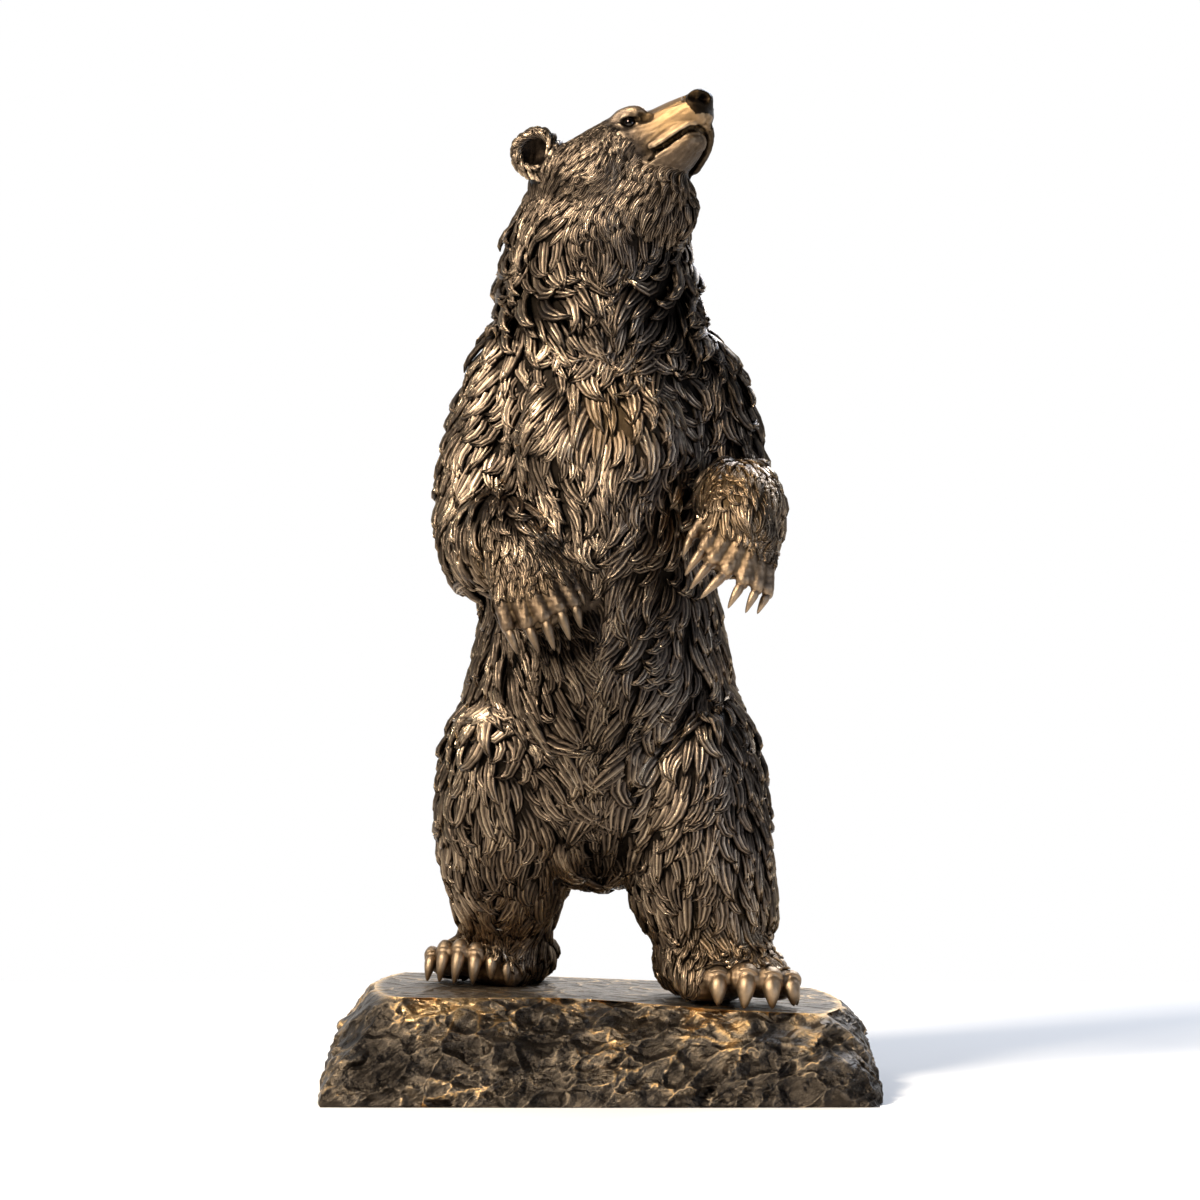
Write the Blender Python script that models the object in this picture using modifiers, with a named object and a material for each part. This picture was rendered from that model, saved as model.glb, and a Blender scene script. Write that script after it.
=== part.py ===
"""A standing bronze bear on a rough rock base. Metres, +Z up, the bear's chest faces -Y.

The bear is free form, so its pose, proportions and locks of fur are given in thousandths of its own
height, from a datum at the middle of the rock's top. The rock is given in metres.
"""

import math

import bmesh
import bpy
import numpy as np
from mathutils import Matrix, Vector, noise
from mathutils.kdtree import KDTree

# Driving dimensions
BEAR_HEIGHT = 2.085  # sole to the top of the nose
ROCK_LENGTH = 1.276
ROCK_DEPTH = 0.90
ROCK_HEIGHT = 0.215  # at the middle of the top
ROCK_TOP_LENGTH = 1.088
ROCK_TOP_SHIFT = 0.0185  # of the top's middle towards +X
ROCK_TOP_FRONT = 0.33  # from the middle to the top's front edge
ROCK_TOP_BACK = 0.39
ROCK_TOP_SLOPE = math.radians(2.2)  # the top falls towards +X
ROCK_FRONT_HOLLOW = 0.17  # how far the top's front edge bows back at its middle
ROCK_FACET = 0.13  # width of the large hewn facets
ROCK_FACET_DEPTH = 0.026
ROCK_SWELL = 0.012  # slow waves of the sides
ROCK_UNEVEN = 0.014  # shift of the hewn corners
ROCK_CELLS = (26, 18, 6)  # along, across and up
SEAT_GAP = 0.0003  # between the soles and the rock

# Surface sizes of the bear
SKIN_VOXEL = 0.0085
LOCK_LENGTH = 62  # thousandths of the height, as the numbers below
LOCK_WIDTH = 13  # half of the lock
LOCK_SPACING = 27
LOCK_RISE = 12.0
BEAR_TRIANGLES = 6650

SHARE = BEAR_HEIGHT / 1000

# The head has its own axes: forward along the muzzle, right, and up.
HEAD_CENTRE = np.array([-17.0, -22.0, 925.0])
HEAD_TURN = math.radians(60)
HEAD_LIFT = math.radians(21.5)
HEAD_ROLL = math.radians(8)


def head_axes():
    """The head's forward, right and up directions."""
    forward = Vector((math.sin(HEAD_TURN) * math.cos(HEAD_LIFT),
                      -math.cos(HEAD_TURN) * math.cos(HEAD_LIFT), math.sin(HEAD_LIFT)))
    up = (Vector((0, 0, 1)) - forward * forward.z).normalized()
    right = forward.cross(up)
    roll = Matrix.Rotation(-HEAD_ROLL, 3, forward)
    return np.array(forward), np.array(roll @ right), np.array(roll @ up)


FORWARD, RIGHT, UP = head_axes()


def on_head(forward, right, up):
    """A point of the head, in the bear's own axes."""
    return HEAD_CENTRE + FORWARD * forward + RIGHT * right + UP * up


# Each limb is a run of sections: the middle (x, y, z), then the half width and the half depth.
TORSO = ((2, 22, 118, 24, 30), (2, 22, 132, 58, 70), (0, 24, 178, 98, 112), (0, 24, 250, 128, 135),
         (-2, 20, 318, 141, 143), (2, 17, 360, 141, 145), (2, 14, 400, 134, 146), (0, 8, 460, 125, 144),
         (4, 5, 530, 120, 138), (5, 8, 600, 122, 128), (4, 14, 665, 124, 118), (2, 20, 720, 116, 108),
         (0, 18, 775, 106, 102), (0, 8, 830, 99, 97), (6, -8, 880, 88, 90), (6, -18, 920, 62, 64),
         (4, -20, 945, 14, 14))
UPPER_ARMS = (((-84, 8, 742, 14, 16), (-90, 8, 724, 36, 40), (-94, 8, 700, 46, 50), (-104, 6, 650, 52, 56),
               (-115, 2, 600, 54, 57), (-122, -4, 545, 55, 56), (-124, -12, 495, 50, 52),
               (-126, -18, 462, 38, 40), (-126, -20, 444, 10, 10)),
              ((84, 8, 742, 14, 16), (88, 8, 724, 36, 40), (94, 8, 700, 47, 50), (112, 6, 655, 54, 55),
               (124, 2, 605, 51, 53), (136, -4, 560, 49, 51), (150, -10, 520, 48, 49),
               (155, -14, 490, 38, 40), (156, -16, 472, 10, 10)))
FOREARMS = (((-132, 5, 492, 14, 14), (-128, -12, 496, 46, 46), (-112, -55, 506, 52, 52),
             (-94, -98, 496, 46, 46), (-82, -128, 478, 41, 36), (-77, -142, 456, 42, 29),
             (-71, -149, 434, 40, 20), (-66, -152, 418, 32, 13), (-64, -152, 406, 8, 6)),
            ((150, 10, 520, 14, 14), (150, -8, 524, 46, 46), (152, -52, 540, 47, 47),
             (152, -100, 552, 43, 42), (152, -140, 548, 39, 38), (151, -164, 526, 40, 34),
             (150, -173, 500, 42, 25), (148, -177, 478, 39, 17), (146, -177, 464, 12, 6)))
LEGS = (((-66, 24, 360, 20, 20), (-70, 24, 335, 54, 74), (-84, 22, 285, 75, 106), (-96, 24, 228, 79, 104),
         (-102, 40, 165, 76, 86), (-105, 58, 118, 65, 70), (-107, 74, 86, 52, 58), (-109, 84, 55, 47, 54),
         (-108, 88, 20, 46, 56), (-106, 88, -10, 10, 10)),
        ((68, 20, 360, 20, 20), (72, 18, 335, 56, 74), (88, 8, 285, 74, 106), (100, -4, 228, 78, 104),
         (108, -14, 177, 77, 93), (114, -20, 128, 78, 84), (123, -26, 90, 70, 70), (128, -32, 58, 60, 60),
         (127, -36, 25, 54, 58), (124, -36, -14, 10, 10)))
FEET = (((-80, 168, 20, 10, 10), (-84, 154, 26, 34, 26), (-94, 124, 32, 43, 34), (-110, 92, 33, 48, 35),
         (-128, 64, 29, 52, 30), (-139, 50, 22, 49, 18), (-144, 44, 16, 30, 9)),
        ((98, 42, 18, 10, 10), (100, 30, 25, 36, 28), (108, -6, 34, 47, 37), (124, -48, 36, 55, 39),
         (142, -78, 29, 62, 33), (150, -94, 21, 59, 21), (154, -101, 13, 38, 10)))
TAIL = ((0, 130, 310, 10, 10), (0, 152, 296, 30, 22), (0, 172, 262, 24, 16), (0, 176, 232, 6, 6))

# The head's sections run along the muzzle: (forward, right, up), half width, half height.
SKULL = ((-66, 0, -8, 8, 8), (-54, 0, -8, 38, 28), (-28, 0, -12, 56, 34), (5, 0, -12, 62, 35),
         (40, 0, -12, 60, 39), (66, 0, -11, 51, 40), (84, 0, -9, 39, 35), (104, 0, -8, 31, 28),
         (128, 0, -5, 27, 24),
         (148, 0, -4, 24, 21), (161, 0, -4, 20, 18), (168, 0, -3, 6, 6))
JAW = ((10, 0, -54, 10, 8), (26, 0, -53, 36, 20), (60, 0, -52, 34, 20), (95, 0, -48, 29, 17),
       (118, 0, -43, 27, 16), (136, 0, -37.5, 22, 13), (147, 0, -34, 15, 9), (152, 0, -32, 4, 4))
LIPS = (((156, 8, -15, 4, 5), (149, 10, -18, 6, 7), (133, 18, -22, 7, 8), (113, 24, -28, 7, 8),
         (96, 29, -32, 4, 5)),
        ((158, -9, -22, 4, 5), (150, -15, -32, 6, 7), (140, -20, -40, 6, 8), (126, -25, -47, 6, 8),
         (110, -28, -53, 6, 8), (96, -30, -56, 4, 5)))
MOUTH = ((94, 30, -39.5), (113, 26, -36), (133, 20, -30), (145, 14, -26), (151, 6, -26), (154, -3, -30),
         (149, -9, -37), (138, -15, -45), (122, -20, -52), (104, -25, -58))

# Rounded muscle and fat: middle, then the three radii.
MASSES = (((0, 62, 690), (98, 72, 92)),  # hump over the shoulders
          ((0, 48, 420), (112, 112, 150)),  # back and loins
          ((-40, -78, 610), (52, 44, 70)), ((44, -78, 610), (52, 44, 70)),  # breast
          ((0, -62, 370), (92, 78, 112)),  # belly
          ((0, -40, 745), (70, 62, 70)),  # foot of the neck
          ((50, -52, 880), (47, 46, 54)),  # throat
          ((-80, 95, 290), (70, 62, 90)), ((80, 92, 290), (70, 62, 90)))  # rump
HEAD_MASSES = (((18, 38, -28), (44, 26, 36)), ((18, -38, -28), (44, 26, 36)),  # cheeks
               ((76, 24, 15), (26, 14, 12)), ((76, -24, 15), (26, 14, 12)),  # brows
               ((160, 0, 4), (14, 20, 13)),  # nose
               ((68, -34, -78), (38, 24, 38)), ((86, -6, -70), (28, 28, 22)))  # ruff and throat
EARS = ((-28, 49, 16), (-30, -47, 8))
EAR_RADIUS = 27
EAR_THICKNESS = 13

# Each digit: knuckle, claw's root and claw's tip, then the digit's radius.
FRONT_DIGITS = (((-106, -158, 434), (-99, -166, 408), (-89, -164, 381), 8.0),
                ((-88, -164, 440), (-77, -174, 411), (-66, -172, 383), 8.4),
                ((-72, -168, 444), (-59, -178, 418), (-49, -176, 385), 8.4),
                ((-56, -164, 452), (-43, -176, 428), (-32, -174, 396), 8.4),
                ((-42, -156, 460), (-27, -166, 434), (-20, -164, 408), 7.6),
                ((-34, -146, 468), (-23, -150, 450), (-16, -148, 434), 5.2),
                ((110, -172, 524), (98, -176, 507), (89, -174, 486), 5.6),
                ((126, -180, 516), (111, -192, 494), (91, -194, 466), 7.6),
                ((136, -186, 504), (119, -200, 480), (96, -204, 451), 7.6),
                ((149, -190, 494), (134, -204, 468), (107, -208, 441), 8.0),
                ((160, -192, 484), (152, -203, 457), (137, -206, 431), 7.6),
                ((171, -188, 478), (168, -198, 451), (156, -201, 426), 7.2),
                ((181, -180, 474), (180, -188, 446), (169, -191, 425), 6.8))
HIND_DIGITS = (((-182, 72, 26), (-190, 42, 37), (-195, 34, 10), 9.7),
               ((-168, 62, 30), (-175, 30, 43), (-181, 22, 10), 10.6),
               ((-152, 54, 32), (-158, 22, 44), (-164, 13, 9), 11.0),
               ((-136, 52, 30), (-140, 20, 41), (-143, 11, 8), 11.0),
               ((-119, 56, 28), (-122, 26, 38), (-123, 18, 13), 9.7),
               ((-104, 64, 24), (-106, 36, 32), (-105, 28, 8), 9.2),
               ((124, -84, 20), (129, -116, 25), (129, -124, -3), 14.3),
               ((152, -88, 22), (160, -122, 27), (157, -131, -6), 15.2),
               ((178, -84, 18), (187, -118, 24), (188, -126, -6), 14.7),
               ((198, -74, 14), (209, -104, 21), (212, -112, -4), 13.3),
               ((196, -52, 10), (212, -76, 15), (217, -84, -6), 10.1))
CLAW_WIDTH = 0.68  # of the digit's radius
DIGIT_PROUD = 0.3  # how far the digits stand out of the paw, as a share of their radius
CLAW_SIDES = 6
FRONT_CLAW_BOW = 4.0  # how far the claws arch
HIND_CLAW_BOW = 5.5

# Creases between the big forms: path, reach and depth.
CREASES = ((((-140, -60, 335), (-85, -105, 300), (-30, -120, 225), (0, -118, 205)), 20, 13),
           (((140, -60, 335), (85, -105, 300), (30, -120, 225), (0, -118, 205)), 20, 13),
           (((-78, -62, 690), (-84, -80, 640), (-80, -88, 580), (-78, -90, 520)), 14, 9),
           (((80, -62, 690), (86, -80, 640), (88, -88, 580), (92, -90, 520)), 14, 9))

# Locks of fur point along these guides: place, direction, reach.
GUIDES = (((0, -140, 640), (0, -0.3, -1), 60), ((-60, -120, 640), (0.5, -0.2, -0.8), 60),
          ((60, -120, 640), (-0.5, -0.2, -0.8), 60), ((-60, -100, 400), (0.45, -0.2, -0.9), 110),
          ((60, -100, 400), (-0.45, -0.2, -0.9), 110), ((-130, -30, 560), (0.2, -0.3, -1), 90),
          ((140, -30, 560), (-0.1, -0.3, -1), 90), ((-110, 0, 250), (0.15, -0.1, -1), 90),
          ((110, 0, 250), (0.1, -0.2, -1), 90), ((0, 120, 500), (0, 0.2, -1), 200),
          ((-90, 0, 820), (-0.35, -0.3, -0.8), 90), ((90, -40, 820), (0.3, -0.3, -0.8), 90),
          ((0, -90, 790), (0, -0.25, -1), 60))


def spline(rows, count):
    """Sections at even steps along the rows, on a smooth curve through them."""
    rows = np.array(rows, float)
    steps = np.linalg.norm(np.diff(rows[:, :3], axis=0), axis=1) + 0.35 * np.abs(np.diff(rows[:, 3]))
    along = np.concatenate([[0], np.cumsum(steps)])
    slopes = np.gradient(rows, along, axis=0)
    at = np.linspace(0, along[-1], count)
    span = np.clip(np.searchsorted(along, at, side="right") - 1, 0, len(rows) - 2)
    size = (along[span + 1] - along[span])[:, None]
    t = (at[:, None] - along[span][:, None]) / size
    made = ((2 * t**3 - 3 * t**2 + 1) * rows[span] + (t**3 - 2 * t**2 + t) * size * slopes[span]
            + (3 * t**2 - 2 * t**3) * rows[span + 1] + (t**3 - t**2) * size * slopes[span + 1])
    made[:, 3:] = np.maximum(made[:, 3:], 0.5)
    return made


def add_limb(mesh, rows, side, segments=28, rings=30):
    """Bends a sphere along the rows. Side is the direction of each section's half width."""
    made = bmesh.ops.create_uvsphere(mesh, u_segments=segments, v_segments=rings, radius=1)["verts"]
    sections = spline(rows, rings + 1)
    tangents = np.gradient(sections[:, :3], axis=0)
    for vert in made:
        ring = round(math.acos(max(-1, min(1, vert.co.z))) / math.pi * rings)
        turn = math.atan2(vert.co.y, vert.co.x)
        middle, half_width, half_depth = sections[ring, :3], sections[ring, 3], sections[ring, 4]
        if ring in (0, rings):
            vert.co = middle
            continue
        tangent = tangents[ring] / np.linalg.norm(tangents[ring])
        across = side - tangent * np.dot(side, tangent)
        across /= np.linalg.norm(across)
        deep = np.cross(across, tangent)
        vert.co = middle + across * half_width * math.cos(turn) + deep * half_depth * math.sin(turn)


def add_mass(mesh, middle, axes, radii):
    """An ellipsoid with its radii along the three axes."""
    made = bmesh.ops.create_uvsphere(mesh, u_segments=24, v_segments=16, radius=1)["verts"]
    for vert in made:
        vert.co = middle + sum(axes[i] * radii[i] * vert.co[i] for i in range(3))


def add_ear(mesh, place, side):
    """A thick round ear, dished in front."""
    middle = on_head(*place)
    outward = RIGHT * side
    facing = FORWARD * 0.35 + outward * 0.85 - UP * 0.1
    facing /= np.linalg.norm(facing)
    across = np.cross(UP, facing)
    across /= np.linalg.norm(across)
    upright = np.cross(facing, across)
    for vert in bmesh.ops.create_uvsphere(mesh, u_segments=28, v_segments=18, radius=1)["verts"]:
        x, y, z = vert.co
        reach = math.hypot(x, y)
        dish = 1.25 * max(0, 1 - (reach / 0.72) ** 2) if z > 0 else 0
        vert.co = (middle + across * x * EAR_RADIUS + upright * y * EAR_RADIUS
                   + facing * (z - dish) * EAR_THICKNESS)


def body_mesh():
    """All the bear's forms, overlapping, in thousandths."""
    mesh = bmesh.new()
    sideways, flat = np.array([1.0, 0, 0]), np.identity(3)
    add_limb(mesh, TORSO, sideways, 36, 40)
    for rows in (*UPPER_ARMS, *FOREARMS, *LEGS, *FEET, TAIL):
        add_limb(mesh, rows, sideways)
    for middle, radii in MASSES:
        add_mass(mesh, np.array(middle, float), flat, radii)
    for rows in (SKULL, JAW, *LIPS):
        add_limb(mesh, [(*on_head(*row[:3]), *row[3:]) for row in rows], RIGHT, 32, 40)
    for place, radii in HEAD_MASSES:
        add_mass(mesh, on_head(*place), (FORWARD, RIGHT, UP), radii)
    for place, side in zip(EARS, (1, -1)):
        add_ear(mesh, place, side)
    for knuckle, root, _, radius in FRONT_DIGITS + HIND_DIGITS:
        knuckle, root = np.array(knuckle, float), np.array(root, float)
        along = root - knuckle
        proud = np.array([0, -1.0, 0.35]) * radius * DIGIT_PROUD
        rows = [(*(knuckle + along * t + proud), radius * r, radius * r)
                for t, r in ((-0.35, 0.3), (-0.1, 0.95), (0.3, 1.1), (0.7, 1.15), (0.98, 0.9), (1.14, 0.25))]
        add_limb(mesh, rows, sideways, 14, 12)
    return mesh


def claw_object(name, digit):
    """One curved claw, round at the root and sharp at the tip."""
    _, root, tip, radius = digit
    root, tip = np.array(root, float), np.array(tip, float)
    hind = digit in HIND_DIGITS
    bow = np.array([0, -1.0, 0.25]) * (HIND_CLAW_BOW if hind else FRONT_CLAW_BOW)
    back = np.array([0, 1.0, 0.3]) * radius * 0.9
    mesh = bmesh.new()
    width = radius * CLAW_WIDTH
    rows = []
    shares = ((-0.25, 0.5), (-0.1, 0.95), (0.15, 1.0), (0.45, 0.85), (0.75, 0.55), (0.95, 0.25), (1.0, 0.08))
    for t, r in shares:
        middle = root + (tip - root) * t + bow * 4 * max(t, 0) * (1 - t) + back * max(0, 0.2 - t)
        rows.append((*middle, width * r, width * r * 1.15))
    add_limb(mesh, rows, np.array([1.0, 0, 0]), CLAW_SIDES, 5)
    return new_object(name, mesh)


def new_object(name, mesh, collection=None):
    """An object in metres on the rock's top, made from a mesh in thousandths."""
    bmesh.ops.transform(mesh, matrix=bear_matrix(), verts=mesh.verts)
    bmesh.ops.recalc_face_normals(mesh, faces=mesh.faces)
    data = bpy.data.meshes.new(name)
    mesh.to_mesh(data)
    mesh.free()
    made = bpy.data.objects.new(name, data)
    (collection or bpy.context.scene.collection).objects.link(made)
    return made


def bear_matrix():
    return Matrix.Translation((0, 0, ROCK_HEIGHT)) @ Matrix.Scale(SHARE, 4)


def read_points(data):
    points = np.empty(len(data.vertices) * 3)
    data.vertices.foreach_get("co", points)
    return points.reshape(-1, 3)


def read_normals(data):
    normals = np.empty(len(data.vertices) * 3)
    data.vertices.foreach_get("normal", normals)
    return normals.reshape(-1, 3)


def relax(data, times, strength):
    """Evens out the skin. Strength is one number for each point."""
    points = read_points(data)
    ends = np.empty(len(data.edges) * 2, int)
    data.edges.foreach_get("vertices", ends)
    ends = ends.reshape(-1, 2)
    count = np.bincount(ends.ravel(), minlength=len(points))[:, None]
    for _ in range(times):
        total = np.zeros_like(points)
        for axis in range(3):
            total[:, axis] = (np.bincount(ends[:, 0], points[ends[:, 1], axis], len(points))
                              + np.bincount(ends[:, 1], points[ends[:, 0], axis], len(points)))
        points += (total / count - points) * strength[:, None]
    data.vertices.foreach_set("co", points.ravel())
    data.update()


def in_shares(points):
    """Points in thousandths of the bear's height, from points in metres."""
    return (points - np.array([0, 0, ROCK_HEIGHT])) / SHARE


def bareness(points):
    """1 where the bronze is smooth or finely worked, at the muzzle and the paws, and 0 in deep fur."""
    local = (points - HEAD_CENTRE) @ np.array([FORWARD, RIGHT, UP]).T
    muzzle = np.clip((local[:, 0] - 52) / 30, 0, 1) * (np.abs(local[:, 1]) < 60) * (local[:, 2] > -75)
    ear = np.zeros(len(points))
    for place in EARS:
        ear = np.maximum(ear, np.clip(1.6 - np.linalg.norm(points - on_head(*place), axis=1) / 26, 0, 1))
    paw = np.zeros(len(points))
    for knuckle, root, _, radius in FRONT_DIGITS + HIND_DIGITS:
        middle = (np.array(knuckle) * 1.0 + np.array(root)) / 2
        paw = np.maximum(paw, np.clip(2.4 - np.linalg.norm(points - middle, axis=1) / 17, 0, 1))
    return np.maximum.reduce([muzzle, ear, paw])


def hair_directions(points, normals):
    """The way the fur lies at each point, along the skin."""
    flow = np.tile([0.0, 0.0, -0.25], (len(points), 1))
    for place, way, reach in GUIDES:
        near = np.exp(-(((points - np.array(place)) / reach) ** 2).sum(axis=1))
        flow += near[:, None] * np.array(way)
    head = np.clip((points[:, 2] - 830) / 60, 0, 1)[:, None]
    flow = flow * (1 - head) + (-FORWARD * 0.8 + np.array([0, 0, -0.75])) * head
    flow -= normals * (flow * normals).sum(axis=1)[:, None]
    return flow / np.maximum(np.linalg.norm(flow, axis=1), 1e-6)[:, None]


def lock_scale(points):
    """The size of the locks at each point: small on the head and near the feet, full size on the body."""
    from_face = np.linalg.norm(points - on_head(30, 0, -10), axis=1)
    by_face = np.interp(from_face, (60, 150), (0.5, 1))
    return np.minimum(by_face, np.interp(points[:, 2], (20, 120), (0.55, 1)))


def lock_roots(points, bare, scale):
    """Indices of points that start a lock, spread evenly over the fur."""
    order = np.random.default_rng(7).permutation(len(points))
    grid = {}
    chosen = []
    for index in order:
        if bare[index] > 0.35 or points[index, 2] < 26:
            continue
        spacing = LOCK_SPACING * scale[index]
        cell = tuple(int(c // LOCK_SPACING) for c in points[index])
        near = (grid.get((cell[0] + i, cell[1] + j, cell[2] + k), ())
                for i in (-1, 0, 1) for j in (-1, 0, 1) for k in (-1, 0, 1))
        if all(sum((a - b) ** 2 for a, b in zip(points[index], points[other])) > spacing**2
               for group in near for other in group):
            grid.setdefault(cell, []).append(index)
            chosen.append(index)
    return chosen


def carve_fur(data):
    """Raises overlapping pointed locks, each swelling from its root and dropping off at its tip."""
    points = in_shares(read_points(data))
    normals = read_normals(data)
    bare = bareness(points)
    flow = hair_directions(points, normals)
    tree = KDTree(len(points))
    for index, point in enumerate(points):
        tree.insert(point, index)
    tree.balance()
    rise = np.zeros(len(points))
    scale = lock_scale(points)
    for root in lock_roots(points, bare, scale):
        start, normal, along = points[root], normals[root], flow[root]
        length, half_width = LOCK_LENGTH * scale[root], LOCK_WIDTH * scale[root]
        swing = 0.5 * noise.noise(Vector(start) / 45)
        across = np.cross(normal, along)
        along = along * math.cos(swing) + across * math.sin(swing)
        across = np.cross(normal, along)
        reached = tree.find_range(Vector(start + along * length / 2), length * 0.6)
        near = np.array([found[1] for found in reached])
        offset = points[near] - start
        t = offset @ along / length
        bow = 0.64 * math.sin(start[0] * 0.9 + start[2] * 0.7) * length * t * (1 - t)
        v = (offset @ across - bow) / half_width
        facing = normals[near] @ normal > 0.3
        width = np.interp(t, (0, 0.25, 0.6, 0.85, 1), (0.55, 0.95, 1, 0.62, 0.08))
        ridge = np.clip(1 - np.abs(v) / width, 0, 1) ** 0.7
        swell = np.interp(t, (0, 0.3, 0.75, 0.93, 1), (0, 0.5, 1, 0.8, 0))
        inside = (t > 0) & (t < 1) & facing
        rise[near] = np.maximum(rise[near], ridge * swell * inside * scale[root])
    rise *= LOCK_RISE * (1 - np.clip(bare * 1.4, 0, 1))
    data.vertices.foreach_set("co", (read_points(data) + normals * (rise * SHARE)[:, None]).ravel())
    data.update()


def groove(data, path, reach, depth):
    """Presses a rounded groove, or a dent where the path is one point, into the skin."""
    points = in_shares(read_points(data))
    normals = read_normals(data)
    nearest = np.full(len(points), 1e9)
    for a, b in zip(path, path[1:] or path):
        a, b = np.array(a, float), np.array(b, float)
        run = b - a
        t = np.clip(((points - a) @ run) / max(run @ run, 1e-9), 0, 1)
        nearest = np.minimum(nearest, np.linalg.norm(points - a - t[:, None] * run, axis=1))
    press = np.clip(1 - (nearest / reach) ** 2, 0, 1) ** 2 * depth
    data.vertices.foreach_set("co", (read_points(data) - normals * (press * SHARE)[:, None]).ravel())
    data.update()


def carve_face(data):
    """Eye sockets, nostrils and the line of the mouth."""
    for side in (1, -1):
        groove(data, [on_head(72, 38 * side, 6.5), on_head(98, 32 * side, 6)], 9, 5)
        groove(data, [on_head(165, 10 * side, 3)], 7, 8)
    groove(data, [on_head(*place) for place in MOUTH], 5.5, 7)


def evaluated_mesh(made):
    graph = bpy.context.evaluated_depsgraph_get()
    return bpy.data.meshes.new_from_object(made.evaluated_get(graph))


def apply_modifiers(made):
    data = evaluated_mesh(made)
    made.modifiers.clear()
    made.data = data


def build_skin():
    """The bear without claws: the forms melted into one skin, the fur and the face carved, then thinned."""
    bear = new_object("bear", body_mesh())
    melt = bear.modifiers.new("Melt", "REMESH")
    melt.mode = "VOXEL"
    melt.voxel_size = SKIN_VOXEL
    apply_modifiers(bear)
    bare = bareness(in_shares(read_points(bear.data)))
    relax(bear.data, 14, 0.6 * (1 - 0.93 * bare))
    for path, reach, depth in CREASES:
        groove(bear.data, path, reach, depth)
    carve_face(bear.data)
    carve_fur(bear.data)
    coarse = bear.vertex_groups.new(name="coarse")
    for index, amount in enumerate(np.clip(1.15 - bareness(in_shares(read_points(bear.data))), 0.1, 1)):
        coarse.add([index], float(amount), "REPLACE")
    thin = bear.modifiers.new("Thin", "DECIMATE")
    thin.ratio = BEAR_TRIANGLES / (2 * len(bear.data.polygons))
    thin.vertex_group = "coarse"
    thin.vertex_group_factor = 0.3
    apply_modifiers(bear)
    return bear


def add_boolean(made, other, operation):
    change = made.modifiers.new(operation.title(), "BOOLEAN")
    change.operation = operation
    change.solver = "EXACT"
    change.object = other


def top_height(x):
    """The height of the rock's sloping top."""
    return ROCK_HEIGHT - x * math.tan(ROCK_TOP_SLOPE)


def seat_cutter(collection):
    """A block whose top is the plane of the soles."""
    data = bpy.data.meshes.new("seat_cutter")
    mesh = bmesh.new()
    bmesh.ops.create_cube(mesh, size=1)
    for vert in mesh.verts:
        x, y = vert.co.x * 2 * ROCK_LENGTH, vert.co.y * 2 * ROCK_DEPTH
        vert.co = (x, y, top_height(x) + SEAT_GAP - (0 if vert.co.z > 0 else ROCK_HEIGHT))
    mesh.to_mesh(data)
    mesh.free()
    made = bpy.data.objects.new("seat_cutter", data)
    collection.objects.link(made)
    made.hide_render = True
    made.display_type = "WIRE"
    return made


def facet_depth(place, size):
    """How deep a hewn, hollowed facet is at a place: nothing on the ridges between facets."""
    distances, _ = noise.voronoi(place / size)
    return min(1.0, (distances[1] - distances[0]) * 1.6)


def rock_place(x, y, height):
    """A point of the smooth tapered block, from shares of its half length, half depth and height."""
    taper = height**1.9
    corner = 1 - (0.02 + 0.08 * height) * (x * y) ** 2
    half_length = (ROCK_LENGTH + (ROCK_TOP_LENGTH - ROCK_LENGTH) * taper) / 2
    top_depth = ROCK_TOP_BACK if y > 0 else ROCK_TOP_FRONT
    place = Vector((x * half_length * corner, 0, 0))
    bow = ROCK_FRONT_HOLLOW * math.exp(-(((place.x + 0.08) / 0.26) ** 2)) if y < 0 else 0
    half_depth = ROCK_DEPTH / 2 + (top_depth - bow - ROCK_DEPTH / 2) * height**1.6
    place.y = y * half_depth * corner
    place.x += ROCK_TOP_SHIFT * taper
    place.z = top_height(place.x) * height
    return place


def build_rock(collection):
    """A block that tapers to a smooth sloping top, with hewn facets on its sides."""
    mesh = bmesh.new()
    bmesh.ops.create_cube(mesh, size=2)
    for axis, cells in enumerate(ROCK_CELLS):
        along = [edge for edge in mesh.edges if abs((edge.verts[0].co - edge.verts[1].co)[axis]) > 1.9]
        bmesh.ops.subdivide_edges(mesh, edges=along, cuts=cells - 1, use_grid_fill=True)
    for end in (-1, 1):
        flat = [face for face in mesh.faces if all(abs(vert.co.z - end) < 0.001 for vert in face.verts)]
        bmesh.ops.dissolve_faces(mesh, faces=flat, use_verts=False)
    for vert in mesh.verts:
        x, y, z = vert.co
        height = (z + 1) / 2
        place = rock_place(x, y, height)
        if 0.001 < height < 0.999:
            place += noise.noise_vector(place * 23) * ROCK_UNEVEN
            inward = Vector((-place.x / ROCK_LENGTH**2, -place.y / ROCK_DEPTH**2, 0)).normalized()
            deep = facet_depth(place + Vector((0.3, 0.2, 0.1)), ROCK_FACET)
            place += inward * (ROCK_FACET_DEPTH * (deep - 0.25) + ROCK_SWELL * noise.noise(place * 7))
            place.x = max(-ROCK_LENGTH / 2, min(ROCK_LENGTH / 2, place.x))
            place.y = max(-ROCK_DEPTH / 2, min(ROCK_DEPTH / 2, place.y))
        vert.co = place
    bmesh.ops.triangulate(mesh, faces=mesh.faces)
    data = bpy.data.meshes.new("rock_base")
    mesh.to_mesh(data)
    mesh.free()
    made = bpy.data.objects.new("rock_base", data)
    collection.objects.link(made)
    return made


def bronze(name, colour, roughness):
    made = bpy.data.materials.new(name)
    made.use_nodes = True
    shader = made.node_tree.nodes["Principled BSDF"]
    shader.inputs["Base Color"].default_value = (*colour, 1)
    shader.inputs["Metallic"].default_value = 1.0
    shader.inputs["Roughness"].default_value = roughness
    return made


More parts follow.
